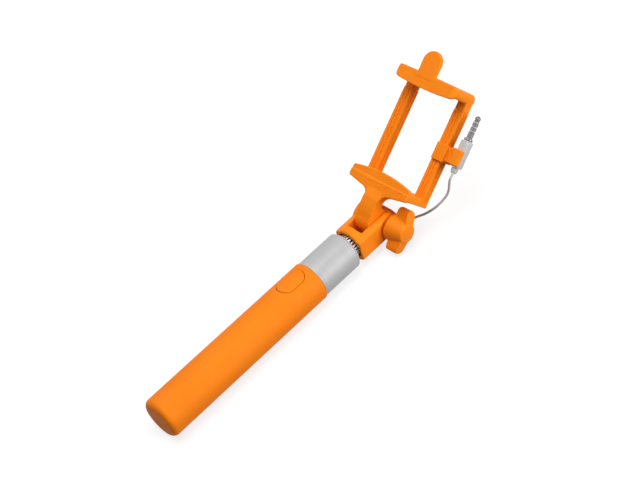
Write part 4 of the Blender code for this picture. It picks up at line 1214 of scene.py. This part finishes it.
screw += [(SCREW_R, screw_high.x), (0.0, screw_high.x)]
pivot_bolt = turn("pivot_bolt", screw, 40, ALONG_X, closed=False)
hand_over(pivot_bolt, turned_steel, "steel", "knob", "pivot_screw")

# %% [markdown]
# ## The grub screw
# A small headless screw in the fork's side holds the fork on its tube. It has a blind hole for the
# key and both ends broken, and it lies along X like the pivot, a little nearer the grip.

# %% Grub screw
GRUB_R, GRUB_END, KEY_R = 0.001, 0.0008, 0.00045
grub_low, grub_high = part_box("grub_screw")
grub_y = (grub_low.y + grub_high.y) / 2
grub = [(0.0, grub_low.x + 0.0008), (KEY_R, grub_low.x + 0.0007), (KEY_R, grub_low.x)]
grub += [(GRUB_END, grub_low.x), (GRUB_R, grub_low.x + SMALL_ROUND)]
grub += [(GRUB_R, grub_high.x - SMALL_ROUND), (GRUB_END, grub_high.x), (0.0, grub_high.x)]
grub_place = Matrix.Translation((0, grub_y - PIVOT.y, 0)) @ ALONG_X
hollow_grub = turn("hollow_grub", grub, 32, grub_place, closed=False)
hand_over(hollow_grub, turned_steel, "steel", "head", "grub_screw")

# %% [markdown]
# ## The grommet
# A rubber grommet guards the lead where it leaves the fork. It is turned on the lead's own line, with
# one groove round it and a rounded end.

# %% Grommet
GROMMET_R, GROMMET_WAIST, GROMMET_ROUND = 0.00125, 0.00105, 0.0003
grommet_low, grommet_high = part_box("lead_grommet")
foot, top = grommet_low.y, grommet_high.y
grommet = [(0.0, foot), (GROMMET_R, foot), (GROMMET_R, foot + 0.0009)]
grommet += [(GROMMET_WAIST, foot + 0.0011), (GROMMET_WAIST, foot + 0.0013)]
grommet += [(GROMMET_R, foot + 0.0015)]
grommet += corner(GROMMET_R - GROMMET_ROUND, top - GROMMET_ROUND, GROMMET_ROUND, 0, 90, 3)
grommet += [(0.0, top)]
grommet_place = Matrix.Translation((lead_start.x, 0, lead_start.z))
rubber_grommet = turn("rubber_grommet", grommet, 40, grommet_place, closed=False)
hand_over(rubber_grommet, grey_vinyl, "grey", "head", "lead_grommet")

# %% [markdown]
# ## The hex nut
# A nut sunk in the far ear takes the pivot screw. It is a six-sided cylinder with its corners
# bevelled and its bore cut.

# %% Hex nut
NUT_HALF, NUT_BORE, DRILL_LENGTH = 0.004, 0.0027, 0.01
nut_low, nut_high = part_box("pivot_nut")


def standing_cylinder(sides, radius, depth):
    """A cylinder along Y, at the origin."""
    put_down()
    bpy.ops.mesh.primitive_cylinder_add(
        vertices=sides, radius=radius, depth=depth, rotation=(math.pi / 2, 0, 0)
    )
    return bpy.context.object


nut = standing_cylinder(6, NUT_HALF / math.cos(math.pi / 6), nut_high.x - nut_low.x)
nut.name = "hex_nut"
bpy.ops.object.transform_apply(location=True, rotation=True, scale=True)
settle(nut, Matrix.Rotation(math.radians(30), 4, "Y"))
bevel_sharp(nut, width=0.00025, segments=2, sharp=30)
cut(nut, standing_cylinder(40, NUT_BORE, DRILL_LENGTH))
settle(nut, ALONG_X @ Matrix.Translation((0, (nut_low.x + nut_high.x) / 2, 0)))
shade(nut, sharp=30)
hand_over(nut, turned_steel, "steel", "head", "pivot_nut")

# %% [markdown]
# ## The lead's far end
# With its plug made, the pieces that sit on the lead's far end are counted: the plug, its strain
# relief and the pin's pieces.

print("lead declared with", 2 + len(pin_pieces), "pieces on its end")

# %% [markdown]
# ## What stays as it is
# Inside the handle the plain solids are the right shape: the core, the fixed tube, its end plug, the
# bushes, the switch and its board, the coiled end of the lead and the jaw springs. They only need
# their finishes.

# %% Finishes for the inner solids
inner_finishes = {"handle_core": black_nylon, "end_plug": black_nylon, "tact_switch": black_nylon}
inner_finishes |= {f"bush_{number}": black_nylon for number in range(1, 6)}
inner_finishes |= {f"jaw_spring_{side}": turned_steel for side in ("left", "right")}
inner_finishes |= {"outer_tube": turned_steel, "switch_board": green_board, "lead_coil": grey_vinyl}
for node_name, finish in inner_finishes.items():
    frame["nodes"][node_name].material_slots[0].material = finish
shown = [name for name, node in frame["nodes"].items() if not node.hide_render]
left_over = [name for name in shown if name not in inner_finishes]
print("inner solids:", len(inner_finishes), "without a finish:", left_over)

# %% [markdown]
# ## The floor
# The picture is a plain studio shot on white. The floor is white to the camera and to reflections,
# but greyer to bounced light. That keeps the undersides as deep as in the picture, and the floor
# still takes the stick's shadow. A light-path node tells the kinds of ray apart.

# %% White where it is seen
def seen_directly(tree):
    """One for camera, mirror and glass rays, nothing for the rest."""
    path = tree.nodes.new("ShaderNodeLightPath")
    total = path.outputs["Is Camera Ray"]
    for label in ("Is Glossy Ray", "Is Transmission Ray"):
        either = tree.nodes.new("ShaderNodeMath")
        either.operation = "MAXIMUM"
        tree.links.new(total, either.inputs[0])
        tree.links.new(path.outputs[label], either.inputs[1])
        total = either.outputs["Value"]
    return total


def white_where_seen(tree, usual, seen, output):
    """One shader for bounced light, and another for rays that see the surface."""
    choose = tree.nodes.new("ShaderNodeMixShader")
    tree.links.new(seen_directly(tree), choose.inputs["Fac"])
    tree.links.new(usual, choose.inputs[1])
    tree.links.new(seen, choose.inputs[2])
    tree.links.new(choose.outputs["Shader"], tree.nodes[output].inputs["Surface"])


PAPER, PAPER_GLOW = (0.28, 0.28, 0.28, 1), 0.76
FLOOR_SIZE, FLOOR_GAP = 6.0, 0.0001
print("the floor glows by", PAPER_GLOW, "where it is seen")

# %% Floor
put_down()
floor_spot = (0, 0.12, cad_box[0].z - FLOOR_GAP)
bpy.ops.mesh.primitive_plane_add(size=FLOOR_SIZE, location=floor_spot)
floor = bpy.context.object
floor.name = "studio_floor"
bpy.ops.object.transform_apply(location=True, rotation=True, scale=True)
white_paper = bpy.data.materials.new("white_paper")
white_paper.use_nodes = True
tree = white_paper.node_tree
paper = tree.nodes["Principled BSDF"]
paper.inputs["Base Color"].default_value = PAPER
paper.inputs["Roughness"].default_value = 0.9
paper.inputs["Specular IOR Level"].default_value = 0.0
glow = tree.nodes.new("ShaderNodeEmission")
glow.inputs["Strength"].default_value = PAPER_GLOW
both = tree.nodes.new("ShaderNodeAddShader")
tree.links.new(paper.outputs["BSDF"], both.inputs[0])
tree.links.new(glow.outputs["Emission"], both.inputs[1])
white_where_seen(tree, paper.outputs["BSDF"], both.outputs["Shader"], "Material Output")
floor.data.materials.append(white_paper)
print("floor at z =", round(floor.data.vertices[0].co.z, 5))

# %% [markdown]
# ## The lamps
# A broad lamp hangs above, one stands on the knob's side and a weaker one across from it. None stands
# at the handle's end, so the faces that look that way fall dark, as in the picture.

# %% Lamps
STICK_MIDDLE = Vector((0.0, 0.13, 0.0))


def hang_lamp(name, spot, size, power):
    """A soft square lamp that looks at the middle of the stick."""
    put_down()
    bpy.ops.object.light_add(type="AREA", location=spot)
    lamp = bpy.context.object
    lamp.name = name
    lamp.data.size = size
    lamp.data.energy = power
    lamp.rotation_euler = (STICK_MIDDLE - Vector(spot)).to_track_quat("-Z", "Y").to_euler()
    print(name, "of", power, "W")


hang_lamp("top_lamp", (0.05, 0.1, 1.0), size=0.8, power=8.3)
hang_lamp("right_lamp", (0.95, 0.55, 0.3), size=0.7, power=9.2)
hang_lamp("left_lamp", (-0.95, 0.2, 0.6), size=0.7, power=3.2)

# %% [markdown]
# ## The sky
# The sky fills the shadows a little. Like the floor it is white where it is seen, so that metal
# mirrors a white room, and dim to all other light.

# %% Sky
SKY_FILL, SKY_SEEN = 0.13, 1.0
sky = bpy.context.scene.world or bpy.data.worlds.new("studio_sky")
bpy.context.scene.world = sky
sky.use_nodes = True
tree = sky.node_tree
dim = tree.nodes["Background"]
white = tree.nodes.new("ShaderNodeBackground")
for light, strength in ((dim, SKY_FILL), (white, SKY_SEEN)):
    light.inputs["Color"].default_value = (1, 1, 1, 1)
    light.inputs["Strength"].default_value = strength
white_where_seen(tree, dim.outputs["Background"], white.outputs["Background"], "World Output")
bpy.context.scene.view_settings.view_transform = "Standard"
print("sky:", SKY_FILL, "to bounced light")

# %% [markdown]
# ## Last step
# The dressed stick has to stay inside the box of its solids, which was printed at the start. The
# last step lets go of everything.

# %% Let go of everything
put_down()
